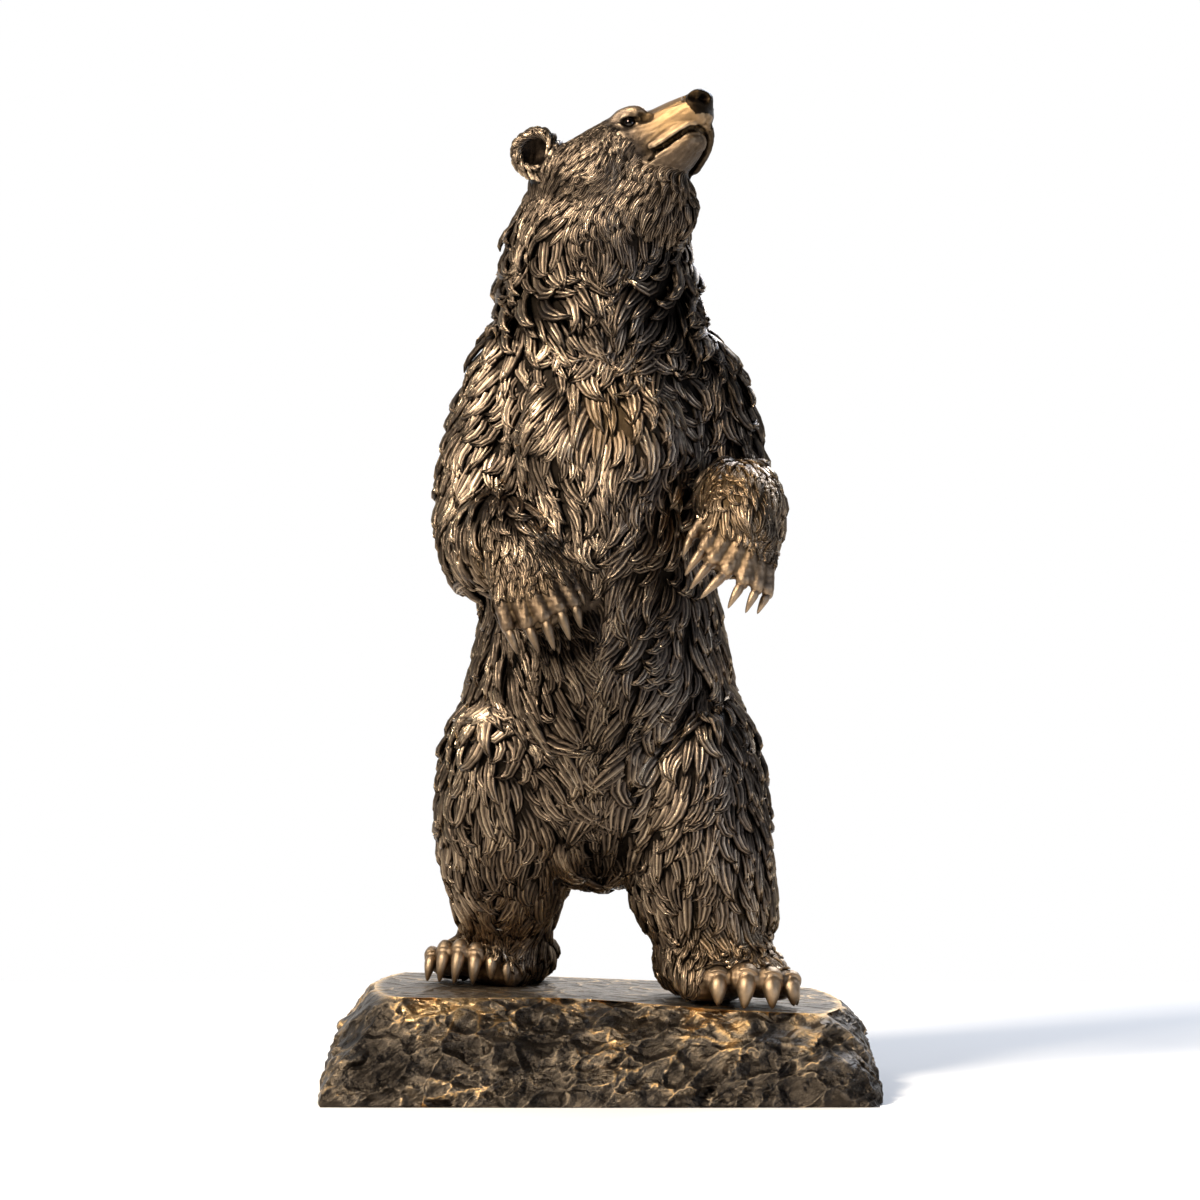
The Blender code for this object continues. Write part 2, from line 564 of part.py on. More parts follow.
def main():
    for old in list(bpy.data.objects):
        bpy.data.objects.remove(old)
    parts = bpy.data.collections.new("bronze_bear")
    cutters = bpy.data.collections.new("cutters")
    for collection in (parts, cutters):
        bpy.context.scene.collection.children.link(collection)

    rock = build_rock(parts)
    rock.data.materials.append(bronze("patinated_bronze_rock", (0.16, 0.10, 0.05), 0.45))

    bear = build_skin()
    bpy.context.scene.collection.objects.unlink(bear)
    parts.objects.link(bear)
    for number, digit in enumerate(FRONT_DIGITS + HIND_DIGITS):
        claw = claw_object(f"claw_{number:02d}", digit)
        bpy.context.scene.collection.objects.unlink(claw)
        cutters.objects.link(claw)
        claw.hide_render = True
        claw.display_type = "WIRE"
        add_boolean(bear, claw, "UNION")
    add_boolean(bear, seat_cutter(cutters), "DIFFERENCE")
    bear.data.materials.clear()
    bear.data.materials.append(bronze("patinated_bronze", (0.20, 0.12, 0.055), 0.38))
    bear.data.shade_smooth()
    bear.data.set_sharp_from_angle(angle=math.radians(55))


if __name__ == "__main__":
    main()
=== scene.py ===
# A standing bronze bear on a rough rock base: fine casting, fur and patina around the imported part.
import math

import bmesh
import bpy
import numpy as np
from mathutils import Matrix, Vector, noise
from mathutils.bvhtree import BVHTree
from mathutils.kdtree import KDTree


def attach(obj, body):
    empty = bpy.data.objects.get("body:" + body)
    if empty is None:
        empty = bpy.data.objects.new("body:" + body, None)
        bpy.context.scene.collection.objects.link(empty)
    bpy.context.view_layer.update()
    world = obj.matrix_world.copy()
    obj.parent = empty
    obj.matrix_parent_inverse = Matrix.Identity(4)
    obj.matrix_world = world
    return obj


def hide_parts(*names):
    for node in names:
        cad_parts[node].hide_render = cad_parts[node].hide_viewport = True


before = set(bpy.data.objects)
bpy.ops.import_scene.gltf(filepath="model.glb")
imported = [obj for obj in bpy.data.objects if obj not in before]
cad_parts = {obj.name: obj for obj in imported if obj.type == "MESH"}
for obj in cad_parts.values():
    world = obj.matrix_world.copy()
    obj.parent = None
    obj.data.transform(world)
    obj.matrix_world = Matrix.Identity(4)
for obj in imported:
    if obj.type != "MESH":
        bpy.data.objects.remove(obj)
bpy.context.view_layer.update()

# The bear's numbers are thousandths of its height, from the middle of the rock's top.
bear = {"height": 2.085, "rockTop": 0.215, "topSlope": math.radians(2.2), "seat": 0.0003}
share = bear["height"] / 1000

head = {"centre": (-17.0, -22.0, 925.0), "turn": 60, "lift": 21.5, "roll": 8}


def headAxes():
    turn, lift = math.radians(head["turn"]), math.radians(head["lift"])
    forward = Vector((math.sin(turn) * math.cos(lift), -math.cos(turn) * math.cos(lift), math.sin(lift)))
    up = (Vector((0, 0, 1)) - forward * forward.z).normalized()
    right = forward.cross(up)
    roll = Matrix.Rotation(math.radians(-head["roll"]), 3, forward)
    return np.array(forward), np.array(roll @ right), np.array(roll @ up)


headForward, headRight, headUp = headAxes()


def onHead(forward, right, up):
    return np.array(head["centre"]) + headForward * forward + headRight * right + headUp * up


# Each limb is a run of sections: the middle (x, y, z), then the half width and the half depth.
forms = {
    "torso": ((2, 22, 118, 24, 30), (2, 22, 132, 58, 70), (0, 24, 178, 98, 112), (0, 24, 250, 128, 135),
              (-2, 20, 318, 141, 143), (2, 17, 360, 141, 145), (2, 14, 400, 134, 146), (0, 8, 460, 125, 144),
              (4, 5, 530, 120, 138), (5, 8, 600, 122, 128), (4, 14, 665, 124, 118), (2, 20, 720, 116, 108),
              (0, 18, 775, 106, 102), (0, 8, 830, 99, 97), (6, -8, 880, 88, 90), (6, -18, 920, 62, 64),
              (4, -20, 945, 14, 14)),
    "upperArms": (((-84, 8, 742, 14, 16), (-90, 8, 724, 36, 40), (-94, 8, 700, 46, 50), (-104, 6, 650, 52, 56),
                   (-115, 2, 600, 54, 57), (-122, -4, 545, 55, 56), (-124, -12, 495, 50, 52),
                   (-126, -18, 462, 38, 40), (-126, -20, 444, 10, 10)),
                  ((84, 8, 742, 14, 16), (88, 8, 724, 36, 40), (94, 8, 700, 47, 50), (112, 6, 655, 54, 55),
                   (124, 2, 605, 51, 53), (136, -4, 560, 49, 51), (150, -10, 520, 48, 49), (155, -14, 490, 38, 40),
                   (156, -16, 472, 10, 10))),
    "forearms": (((-132, 5, 492, 14, 14), (-128, -12, 496, 46, 46), (-112, -55, 506, 52, 52),
                  (-94, -98, 496, 46, 46), (-82, -128, 478, 41, 36), (-77, -142, 456, 42, 29),
                  (-71, -149, 434, 40, 20), (-66, -152, 418, 32, 13), (-64, -152, 406, 8, 6)),
                 ((150, 10, 520, 14, 14), (150, -8, 524, 46, 46), (152, -52, 540, 47, 47), (152, -100, 552, 43, 42),
                  (152, -140, 548, 39, 38), (151, -164, 526, 40, 34), (150, -173, 500, 42, 25),
                  (148, -177, 478, 39, 17), (146, -177, 464, 12, 6))),
    "legs": (((-66, 24, 360, 20, 20), (-70, 24, 335, 54, 74), (-84, 22, 285, 75, 106), (-96, 24, 228, 79, 104),
              (-102, 40, 165, 76, 86), (-105, 58, 118, 65, 70), (-107, 74, 86, 52, 58), (-109, 84, 55, 47, 54),
              (-108, 88, 20, 46, 56), (-106, 88, -10, 10, 10)),
             ((68, 20, 360, 20, 20), (72, 18, 335, 56, 74), (88, 8, 285, 74, 106), (100, -4, 228, 78, 104),
              (108, -14, 177, 77, 93), (114, -20, 128, 78, 84), (123, -26, 90, 70, 70), (128, -32, 58, 60, 60),
              (127, -36, 25, 54, 58), (124, -36, -14, 10, 10))),
    "feet": (((-80, 168, 20, 10, 10), (-84, 154, 26, 34, 26), (-94, 124, 32, 43, 34), (-110, 92, 33, 48, 35),
              (-128, 64, 29, 52, 30), (-139, 50, 22, 49, 18), (-144, 44, 16, 30, 9)),
             ((98, 42, 18, 10, 10), (100, 30, 25, 36, 28), (108, -6, 34, 47, 37), (124, -48, 36, 55, 39),
              (142, -78, 29, 62, 33), (150, -94, 21, 59, 21), (154, -101, 13, 38, 10))),
    "tail": ((0, 130, 310, 10, 10), (0, 152, 296, 30, 22), (0, 172, 262, 24, 16), (0, 176, 232, 6, 6)),
    "skull": ((-66, 0, -8, 8, 8), (-54, 0, -8, 38, 28), (-28, 0, -12, 56, 34), (5, 0, -12, 62, 35),
              (40, 0, -12, 60, 39), (66, 0, -11, 51, 40), (84, 0, -9, 39, 35), (104, 0, -8, 31, 28),
              (128, 0, -5, 27, 24), (148, 0, -4, 24, 21), (161, 0, -4, 20, 18), (168, 0, -3, 6, 6)),
    "jaw": ((10, 0, -54, 10, 8), (26, 0, -53, 36, 20), (60, 0, -52, 34, 20), (95, 0, -48, 29, 17),
            (118, 0, -43, 27, 16), (136, 0, -37.5, 22, 13), (147, 0, -34, 15, 9), (152, 0, -32, 4, 4)),
    "masses": (((0, 62, 690), (98, 72, 92)), ((0, 48, 420), (112, 112, 150)), ((-40, -78, 610), (52, 44, 70)),
               ((44, -78, 610), (52, 44, 70)), ((0, -62, 370), (92, 78, 112)), ((0, -40, 745), (70, 62, 70)),
               ((50, -52, 880), (47, 46, 54)), ((-80, 95, 290), (70, 62, 90)), ((80, 92, 290), (70, 62, 90))),
    "headMasses": (((18, 38, -28), (44, 26, 36)), ((18, -38, -28), (44, 26, 36)), ((76, 24, 15), (26, 14, 12)),
                   ((76, -24, 15), (26, 14, 12)), ((160, 0, 4), (14.5, 21, 14)), ((68, -34, -78), (38, 24, 38)),
                   ((86, -6, -70), (28, 28, 22))),
    "lips": (((156, 8, -15, 4, 5), (149, 10, -18, 6, 7), (133, 18, -22, 7, 8), (113, 24, -28, 7, 8),
              (96, 29, -32, 4, 5)),
             ((158, -9, -22, 4, 5), (150, -15, -32, 6, 7), (140, -20, -40, 6, 8), (126, -25, -47, 6, 8),
              (110, -28, -53, 6, 8), (96, -30, -56, 4, 5))),
}
ears = {"places": ((-28, 49, 16), (-30, -47, 8)), "radius": 27, "thickness": 13}

# Each digit: knuckle, claw's root and claw's tip, then the digit's radius.
frontDigits = (((-106, -158, 434), (-99, -166, 408), (-89, -164, 381), 8.0),
               ((-88, -164, 440), (-77, -174, 411), (-66, -172, 383), 8.4),
               ((-72, -168, 444), (-59, -178, 418), (-49, -176, 385), 8.4),
               ((-56, -164, 452), (-43, -176, 428), (-32, -174, 396), 8.4),
               ((-42, -156, 460), (-27, -166, 434), (-20, -164, 408), 7.6),
               ((-34, -146, 468), (-23, -150, 450), (-16, -148, 434), 5.2),
               ((110, -172, 524), (98, -176, 507), (89, -174, 486), 5.6),
               ((126, -180, 516), (111, -192, 494), (91, -194, 466), 7.6),
               ((136, -186, 504), (119, -200, 480), (96, -204, 451), 7.6),
               ((149, -190, 494), (134, -204, 468), (107, -208, 441), 8.0),
               ((160, -192, 484), (152, -203, 457), (137, -206, 431), 7.6),
               ((171, -188, 478), (168, -198, 451), (156, -201, 426), 7.2),
               ((181, -180, 474), (180, -188, 446), (169, -191, 425), 6.8))
hindDigits = (((-182, 72, 26), (-190, 42, 37), (-195, 34, 10), 9.7),
              ((-168, 62, 30), (-175, 30, 43), (-181, 22, 10), 10.6),
              ((-152, 54, 32), (-158, 22, 44), (-164, 13, 9), 11.0),
              ((-136, 52, 30), (-140, 20, 41), (-143, 11, 8), 11.0),
              ((-119, 56, 28), (-122, 26, 38), (-123, 18, 13), 9.7),
              ((-104, 64, 24), (-106, 36, 32), (-105, 28, 8), 9.2),
              ((124, -84, 20), (129, -116, 25), (129, -124, -3), 14.3),
              ((152, -88, 22), (160, -122, 27), (157, -131, -6), 15.2),
              ((178, -84, 18), (187, -118, 24), (188, -126, -6), 14.7),
              ((198, -74, 14), (209, -104, 21), (212, -112, -4), 13.3),
              ((196, -52, 10), (212, -76, 15), (217, -84, -6), 10.1))


def readArray(items, name, width, kind=float):
    values = np.empty(len(items) * width, kind)
    items.foreach_get(name, values)
    return values.reshape(-1, width) if width > 1 else values


def deselectAll():
    if bpy.context.mode != "OBJECT":
        bpy.ops.object.mode_set(mode="OBJECT")
    bpy.ops.object.select_all(action="DESELECT")


def inMetres(points):
    return points * share + np.array([0, 0, bear["rockTop"]])


def inShares(points):
    return (points - np.array([0, 0, bear["rockTop"]])) / share


def newSphere(segments, rings):
    bpy.ops.mesh.primitive_uv_sphere_add(segments=segments, ring_count=rings, radius=1)
    return bpy.context.object


def spline(rows, count):  # sections at even steps on a smooth curve through the rows
    rows = np.array(rows, float)
    steps = np.linalg.norm(np.diff(rows[:, :3], axis=0), axis=1) + 0.35 * np.abs(np.diff(rows[:, 3]))
    along = np.concatenate([[0], np.cumsum(steps)])
    slopes = np.gradient(rows, along, axis=0)
    at = np.linspace(0, along[-1], count)
    span = np.clip(np.searchsorted(along, at, side="right") - 1, 0, len(rows) - 2)
    size = (along[span + 1] - along[span])[:, None]
    t = (at[:, None] - along[span][:, None]) / size
    made = ((2 * t**3 - 3 * t**2 + 1) * rows[span] + (t**3 - 2 * t**2 + t) * size * slopes[span]
            + (3 * t**2 - 2 * t**3) * rows[span + 1] + (t**3 - t**2) * size * slopes[span + 1])
    made[:, 3:] = np.maximum(made[:, 3:], 0.5)
    return made


def bendSphere(obj, rows, side, rings):  # a sphere drawn out along a limb's sections
    points = readArray(obj.data.vertices, "co", 3)
    sections = spline(rows, rings + 1)
    tangents = np.gradient(sections[:, :3], axis=0)
    tangents /= np.linalg.norm(tangents, axis=1)[:, None]
    ring = np.rint(np.arccos(np.clip(points[:, 2], -1, 1)) / math.pi * rings).astype(int)
    turn = np.arctan2(points[:, 1], points[:, 0])
    tangent = tangents[ring]
    across = side - tangent * (tangent @ side)[:, None]
    across /= np.linalg.norm(across, axis=1)[:, None]
    deep = np.cross(across, tangent)
    open_ = ((ring > 0) & (ring < rings))[:, None]
    placed = sections[ring, :3] + open_ * (across * (sections[ring, 3] * np.cos(turn))[:, None]
                                           + deep * (sections[ring, 4] * np.sin(turn))[:, None])
    obj.data.vertices.foreach_set("co", inMetres(placed).ravel())


def limb(rows, side, segments=32, rings=34):
    made = newSphere(segments, rings)
    bendSphere(made, rows, side, rings)
    return made


def mass(middle, axes, radii):
    made = newSphere(28, 18)
    points = readArray(made.data.vertices, "co", 3)
    placed = np.array(middle) + (points * np.array(radii)) @ np.array(axes)
    made.data.vertices.foreach_set("co", inMetres(placed).ravel())
    return made


def earAxes(side):
    facing = headForward * 0.35 + headRight * side * 0.85 - headUp * 0.1
    facing /= np.linalg.norm(facing)
    across = np.cross(headUp, facing)
    across /= np.linalg.norm(across)
    return facing, across, np.cross(facing, across)


def ear(place, side):  # a thick round rim, dished towards the front and the side
    made = newSphere(40, 26)
    points = readArray(made.data.vertices, "co", 3)
    facing, across, upright = earAxes(side)
    reach = np.hypot(points[:, 0], points[:, 1])
    dish = np.where(points[:, 2] > 0, 1.25 * np.maximum(0, 1 - (reach / 0.72) ** 2), 0)
    placed = (onHead(*place) + np.outer(points[:, 0] * ears["radius"], across)
              + np.outer(points[:, 1] * ears["radius"], upright)
              + np.outer((points[:, 2] - dish) * ears["thickness"], facing))
    made.data.vertices.foreach_set("co", inMetres(placed).ravel())
    return made


def joinAll(objects, name):
    deselectAll()
    for obj in objects:
        obj.select_set(True)
    bpy.context.view_layer.objects.active = objects[0]
    bpy.ops.object.join()
    made = bpy.context.object
    made.name = made.data.name = name
    return made


def applyModifier(obj, kind, **settings):
    deselectAll()
    obj.select_set(True)
    bpy.context.view_layer.objects.active = obj
    modifier = obj.modifiers.new(kind.title(), kind)
    for name, value in settings.items():
        setattr(modifier, name, value)
    bpy.ops.object.modifier_apply(modifier=modifier.name)


def settle(obj):  # puts the object at the origin with its place in its mesh
    deselectAll()
    obj.select_set(True)
    bpy.context.view_layer.objects.active = obj
    bpy.ops.object.transform_apply(location=True, rotation=True, scale=True)


def edgeEnds(data):
    return readArray(data.edges, "vertices", 2, np.int32)


def neighbourMean(values, ends, count):
    total = np.zeros_like(values)
    for axis in range(values.shape[1]):
        total[:, axis] = (np.bincount(ends[:, 0], values[ends[:, 1], axis], len(values))
                          + np.bincount(ends[:, 1], values[ends[:, 0], axis], len(values)))
    return total / count


def relax(data, times, strength):
    points, ends = readArray(data.vertices, "co", 3), edgeEnds(data)
    count = np.bincount(ends.ravel(), minlength=len(points))[:, None]
    for _ in range(times):
        points += (neighbourMean(points, ends, count) - points) * strength[:, None]
    data.vertices.foreach_set("co", points.ravel())
    data.update()


def bareness(points, face=1.0, hand=1.0):  # 1 where the bronze is smooth or finely worked, 0 in deep fur
    local = (points - np.array(head["centre"])) @ np.array([headForward, headRight, headUp]).T
    under = np.interp(local[:, 0], (70, 96, 116), (-34, -54, -64))
    start = np.interp(local[:, 2], (-40, -14, 0, 8), (66, 64, 54, 44))
    muzzle = (np.clip((local[:, 0] - start) / 30, 0, 1) * (np.abs(local[:, 1]) < 60)
              * np.clip((local[:, 2] - under) / 6, 0, 1))
    earNear = np.zeros(len(points))
    for place in ears["places"]:
        earNear = np.maximum(earNear, np.clip(1.6 - np.linalg.norm(points - onHead(*place), axis=1) / 26, 0, 1))
    paw = np.zeros(len(points))
    for knuckle, root, tip, radius in frontDigits + hindDigits:
        middle = (np.array(knuckle) + np.array(root)) / 2
        paw = np.maximum(paw, np.clip(2.4 - np.linalg.norm(points - middle, axis=1) / 17, 0, 1))
    return np.maximum.reduce([muzzle * face, earNear, paw * hand])


# Creases between the big forms, in the bear's axes: path, then reach and depth.
creases = (
    (((-140, -60, 335), (-85, -105, 300), (-30, -120, 225), (0, -118, 205)), 20, 13),
    (((140, -60, 335), (85, -105, 300), (30, -120, 225), (0, -118, 205)), 20, 13),
    (((-78, -62, 690), (-84, -80, 640), (-80, -88, 580), (-78, -90, 520)), 14, 9),
    (((80, -62, 690), (86, -80, 640), (88, -88, 580), (92, -90, 520)), 14, 9),
    (((0, -120, 690), (0, -128, 640), (0, -128, 580)), 16, 5),
)
mouth = ((94, 30, -39.5), (104, 28, -37.5), (113, 26, -36), (133, 20, -30), (145, 14, -26), (151, 6, -26),
         (154, -3, -30), (149, -9, -37), (138, -15, -45), (122, -20, -52), (104, -25, -58))
eyes = {"at": (87, 36, 6.5), "radius": 6.6, "length": 12.5, "height": 6.2, "tilt": 4}
nose = {"nostril": (169, 9.5, 2), "nostrilReach": 8, "nostrilDepth": 11}
skinSizes = {"cell": 0.005, "triangles": 170000, "relaxTimes": 60}


def press(obj, path, reach, depth, sharp=2.0):  # a rounded groove along a path, or a swelling if depth is under 0
    data = obj.data
    metres = readArray(data.vertices, "co", 3)
    points, normals = inShares(metres), readArray(data.vertices, "normal", 3)
    low = np.min(path, axis=0) - reach
    high = np.max(path, axis=0) + reach
    near = np.flatnonzero(((points > low) & (points < high)).all(axis=1))
    nearest = np.full(len(near), 1e9)
    for a, b in zip(path, path[1:] or path):
        a, b = np.array(a, float), np.array(b, float)
        run = b - a
        t = np.clip(((points[near] - a) @ run) / max(run @ run, 1e-9), 0, 1)
        nearest = np.minimum(nearest, np.linalg.norm(points[near] - a - t[:, None] * run, axis=1))
    pressed = np.clip(1 - (nearest / reach) ** 2, 0, 1) ** sharp * depth
    metres[near] -= normals[near] * (pressed * share)[:, None]
    data.vertices.foreach_set("co", metres.ravel())
    data.update()


def skinTree(obj):
    points = readArray(obj.data.vertices, "co", 3)
    obj.data.calc_loop_triangles()
    faces = readArray(obj.data.loop_triangles, "vertices", 3, np.int32)
    return BVHTree.FromPolygons([Vector(p) for p in points], faces.tolist(), all_triangles=True)


def eyePlace(tree, side):  # the eye's middle on the skin, and its own across, upright and outward directions
    forward, right, up = eyes["at"]
    at = Vector(inMetres(onHead(forward, right * side, up)))
    found, normal, _, _ = tree.find_nearest(at)
    outward = np.array(normal) * 0.6 + headRight * side * 0.5 + headForward * 0.45 + headUp * 0.1
    outward /= np.linalg.norm(outward)
    across = headForward - outward * (outward @ headForward)
    across /= np.linalg.norm(across)
    upright = np.cross(outward, across) * -side
    upright *= np.sign(upright @ headUp)
    tilt = math.radians(eyes["tilt"])
    across, upright = (across * math.cos(tilt) - upright * math.sin(tilt),
                       upright * math.cos(tilt) + across * math.sin(tilt))
    return inShares(np.array(found)), across, upright, outward


def lidRing(place, grow):
    middle, across, upright, _ = place
    turns = np.linspace(0, 2 * math.pi, 25)
    return [tuple(middle + across * math.cos(t) * eyes["length"] * grow
                  + upright * math.sin(t) * eyes["height"] * grow * (1.1 if math.sin(t) > 0 else 0.9))
            for t in turns]


def onSkin(tree, places):  # a path of the head laid on the skin, in short steps
    line = []
    for a, b in zip(places, places[1:]):
        a, b = np.array(onHead(*a)), np.array(onHead(*b))
        count = max(1, int(np.linalg.norm(b - a) / 2.5))
        line += [a + (b - a) * step / count for step in range(count)]
    line.append(onHead(*places[-1]))
    return [tuple(inShares(np.array(tree.find_nearest(Vector(inMetres(place)))[0]))) for place in line]


def carveFace(obj, eyePlaces, tree):
    for place in eyePlaces:
        press(obj, lidRing(place, 1.55), 6, 0.9)
        press(obj, [tuple(place[0])], 11, 5.0, 1.4)
        press(obj, lidRing(place, 1.0), 2.6, -1.4, 1.5)
    for side in (1, -1):
        brow = [(64, 34 * side, 15), (76, 33 * side, 20), (88, 30 * side, 20), (99, 24 * side, 15)]
        press(obj, [tuple(onHead(*place)) for place in brow], 8, -1.7, 1.4)
        press(obj, [tuple(onHead(98, 29 * side, 6)), tuple(onHead(106, 25 * side, 2))], 8, 3.4, 1.4)
        forward, right, up = nose["nostril"]
        press(obj, [tuple(onHead(forward, right * side, up)), tuple(onHead(forward - 7, (right + 6) * side, up + 3))],
              nose["nostrilReach"], nose["nostrilDepth"], 1.1)
        press(obj, [tuple(onHead(149, 14 * side, 13)), tuple(onHead(150, 20 * side, 4)),
                    tuple(onHead(155, 17 * side, -7)), tuple(onHead(160, 6 * side, -13))], 3.4, 2.6, 1.5)
    press(obj, [tuple(onHead(165, 0, -2)), tuple(onHead(163, 0, -11)), tuple(onHead(157, 0, -22))], 2.8, 3.0, 1.5)
    press(obj, [tuple(onHead(60, 0, 30)), tuple(onHead(100, 0, 20))], 10, 2.5, 1.5)
    line = onSkin(tree, mouth)
    press(obj, line, 8, 2.0, 1.5)
    press(obj, line, 3.6, 7.0, 1.2)
    press(obj, onSkin(tree, [(f - 1.5, r, u - 6) for f, r, u in mouth[1:-2]]), 3.4, -1.8, 1.5)
    press(obj, onSkin(tree, [(f + 1, r, u + 6) for f, r, u in mouth[1:-2]]), 3.6, -1.2, 1.5)


def streakBare(obj):  # the short hair of the face and the wrinkles of the paws, as fine streaks
    data = obj.data
    metres = readArray(data.vertices, "co", 3)
    points, normals = inShares(metres), readArray(data.vertices, "normal", 3)
    bare = bareness(points)
    local = (points - np.array(head["centre"])) @ np.array([headForward, headRight, headUp]).T
    onPad = np.clip((local[:, 0] - padEdge(local)) / 4, 0, 1) * (local[:, 2] > -15)
    for index in np.flatnonzero(bare > 0.2):
        f, r, u = local[index]
        if f > 0 and u > -90 and abs(r) < 70:
            fine = noise.noise(Vector((f / 22, r / 3.4, u / 3.4))) + 0.6 * noise.noise(Vector((f / 60, r / 8, u / 8)))
            high = 0.0011 * (1 - onPad[index])
        else:
            x, y, z = points[index]
            fine = noise.noise(Vector((x / 3.6, y / 12, z / 14))) + 0.8 * noise.noise(Vector((x / 14, y / 9, z / 4)))
            high = 0.0012
        metres[index] += normals[index] * fine * high * min(1, bare[index] * 1.4)
    data.vertices.foreach_set("co", metres.ravel())
    data.update()


def padEdge(local):  # how far forward the nose's dark pad begins, by height
    return np.interp(local[:, 2], (-13, 12), (158, 149))


def buildForms():
    parts = [limb(forms["torso"], np.array([1.0, 0, 0]), 40, 48)]
    for rows in (*forms["upperArms"], *forms["forearms"], *forms["legs"], *forms["feet"], forms["tail"]):
        parts.append(limb(rows, np.array([1.0, 0, 0])))
    for middle, radii in forms["masses"]:
        parts.append(mass(middle, np.identity(3), radii))
    for rows in (forms["skull"], forms["jaw"], *forms["lips"]):
        parts.append(limb([(*onHead(*row[:3]), *row[3:]) for row in rows], headRight, 40, 48))
    for place, radii in forms["headMasses"]:
        parts.append(mass(onHead(*place), (headForward, headRight, headUp), radii))
    for place, side in zip(ears["places"], (1, -1)):
        parts.append(ear(place, side))
    for knuckle, root, tip, radius in frontDigits + hindDigits:
        knuckle, root = np.array(knuckle, float), np.array(root, float)
        along = root - knuckle
        swell = ((-1.35, 0.3), (-0.9, 0.75), (-0.4, 1.0), (0.05, 1.06), (0.45, 0.98), (0.8, 0.97), (1.02, 0.8),
                 (1.15, 0.25))
        proud = np.array([0, -1.0, 0.35]) * radius * 0.3
        rows = [(*(knuckle + along * t + proud * min(1, max(0, (t + 0.9) / 0.9))), radius * r * 1.12, radius * r * 1.12)
                for t, r in swell]
        parts.append(limb(rows, np.array([1.0, 0, 0]), 18, 18))
    return joinAll(parts, "bearSkin")


def refineBare(obj):  # halves the cells where the bronze is finely worked
    bare = bareness(inShares(readArray(obj.data.vertices, "co", 3)))
    deselectAll()
    obj.select_set(True)
    bpy.context.view_layer.objects.active = obj
    bpy.ops.object.mode_set(mode="EDIT")
    bpy.context.tool_settings.mesh_select_mode = (False, False, True)
    bpy.ops.mesh.select_all(action="DESELECT")
    bpy.ops.object.mode_set(mode="OBJECT")
    corner = readArray(obj.data.loops, "vertex_index", 1, np.int32)
    start = readArray(obj.data.polygons, "loop_start", 1, np.int32)
    obj.data.polygons.foreach_set("select", bare[corner[start]] > 0.45)
    bpy.ops.object.mode_set(mode="EDIT")
    bpy.ops.mesh.subdivide(number_cuts=1)
    bpy.ops.object.mode_set(mode="OBJECT")


def buildSkin():
    skin = buildForms()
    applyModifier(skin, "REMESH", mode="VOXEL", voxel_size=skinSizes["cell"])
    bare = bareness(inShares(readArray(skin.data.vertices, "co", 3)))
    relax(skin.data, skinSizes["relaxTimes"], 0.6 * (1 - 0.97 * bare))
    for path, reach, depth in creases:
        press(skin, path, reach, depth)
    refineBare(skin)
    relax(skin.data, 4, np.full(len(skin.data.vertices), 0.5))
    tree = skinTree(skin)
    places = [eyePlace(tree, side) for side in (1, -1)]
    streakBare(skin)
    carveFace(skin, places, tree)
    lip = onSkin(tree, mouth)
    coarse = skin.vertex_groups.new(name="coarse")
    weight = np.clip(1.15 - bareness(inShares(readArray(skin.data.vertices, "co", 3))), 0.05, 1)
    for step in range(20):
        chosen = np.flatnonzero((weight * 20).astype(int).clip(0, 19) == step)
        coarse.add(chosen.tolist(), (step + 0.5) / 20, "REPLACE")
    ratio = min(1.0, skinSizes["triangles"] / (2 * len(skin.data.polygons)))
    if ratio < 1:
        applyModifier(skin, "DECIMATE", ratio=ratio, vertex_group="coarse", vertex_group_factor=1.5)
    skin.vertex_groups.clear()
    skin.data.shade_smooth()
    return skin, places, lip


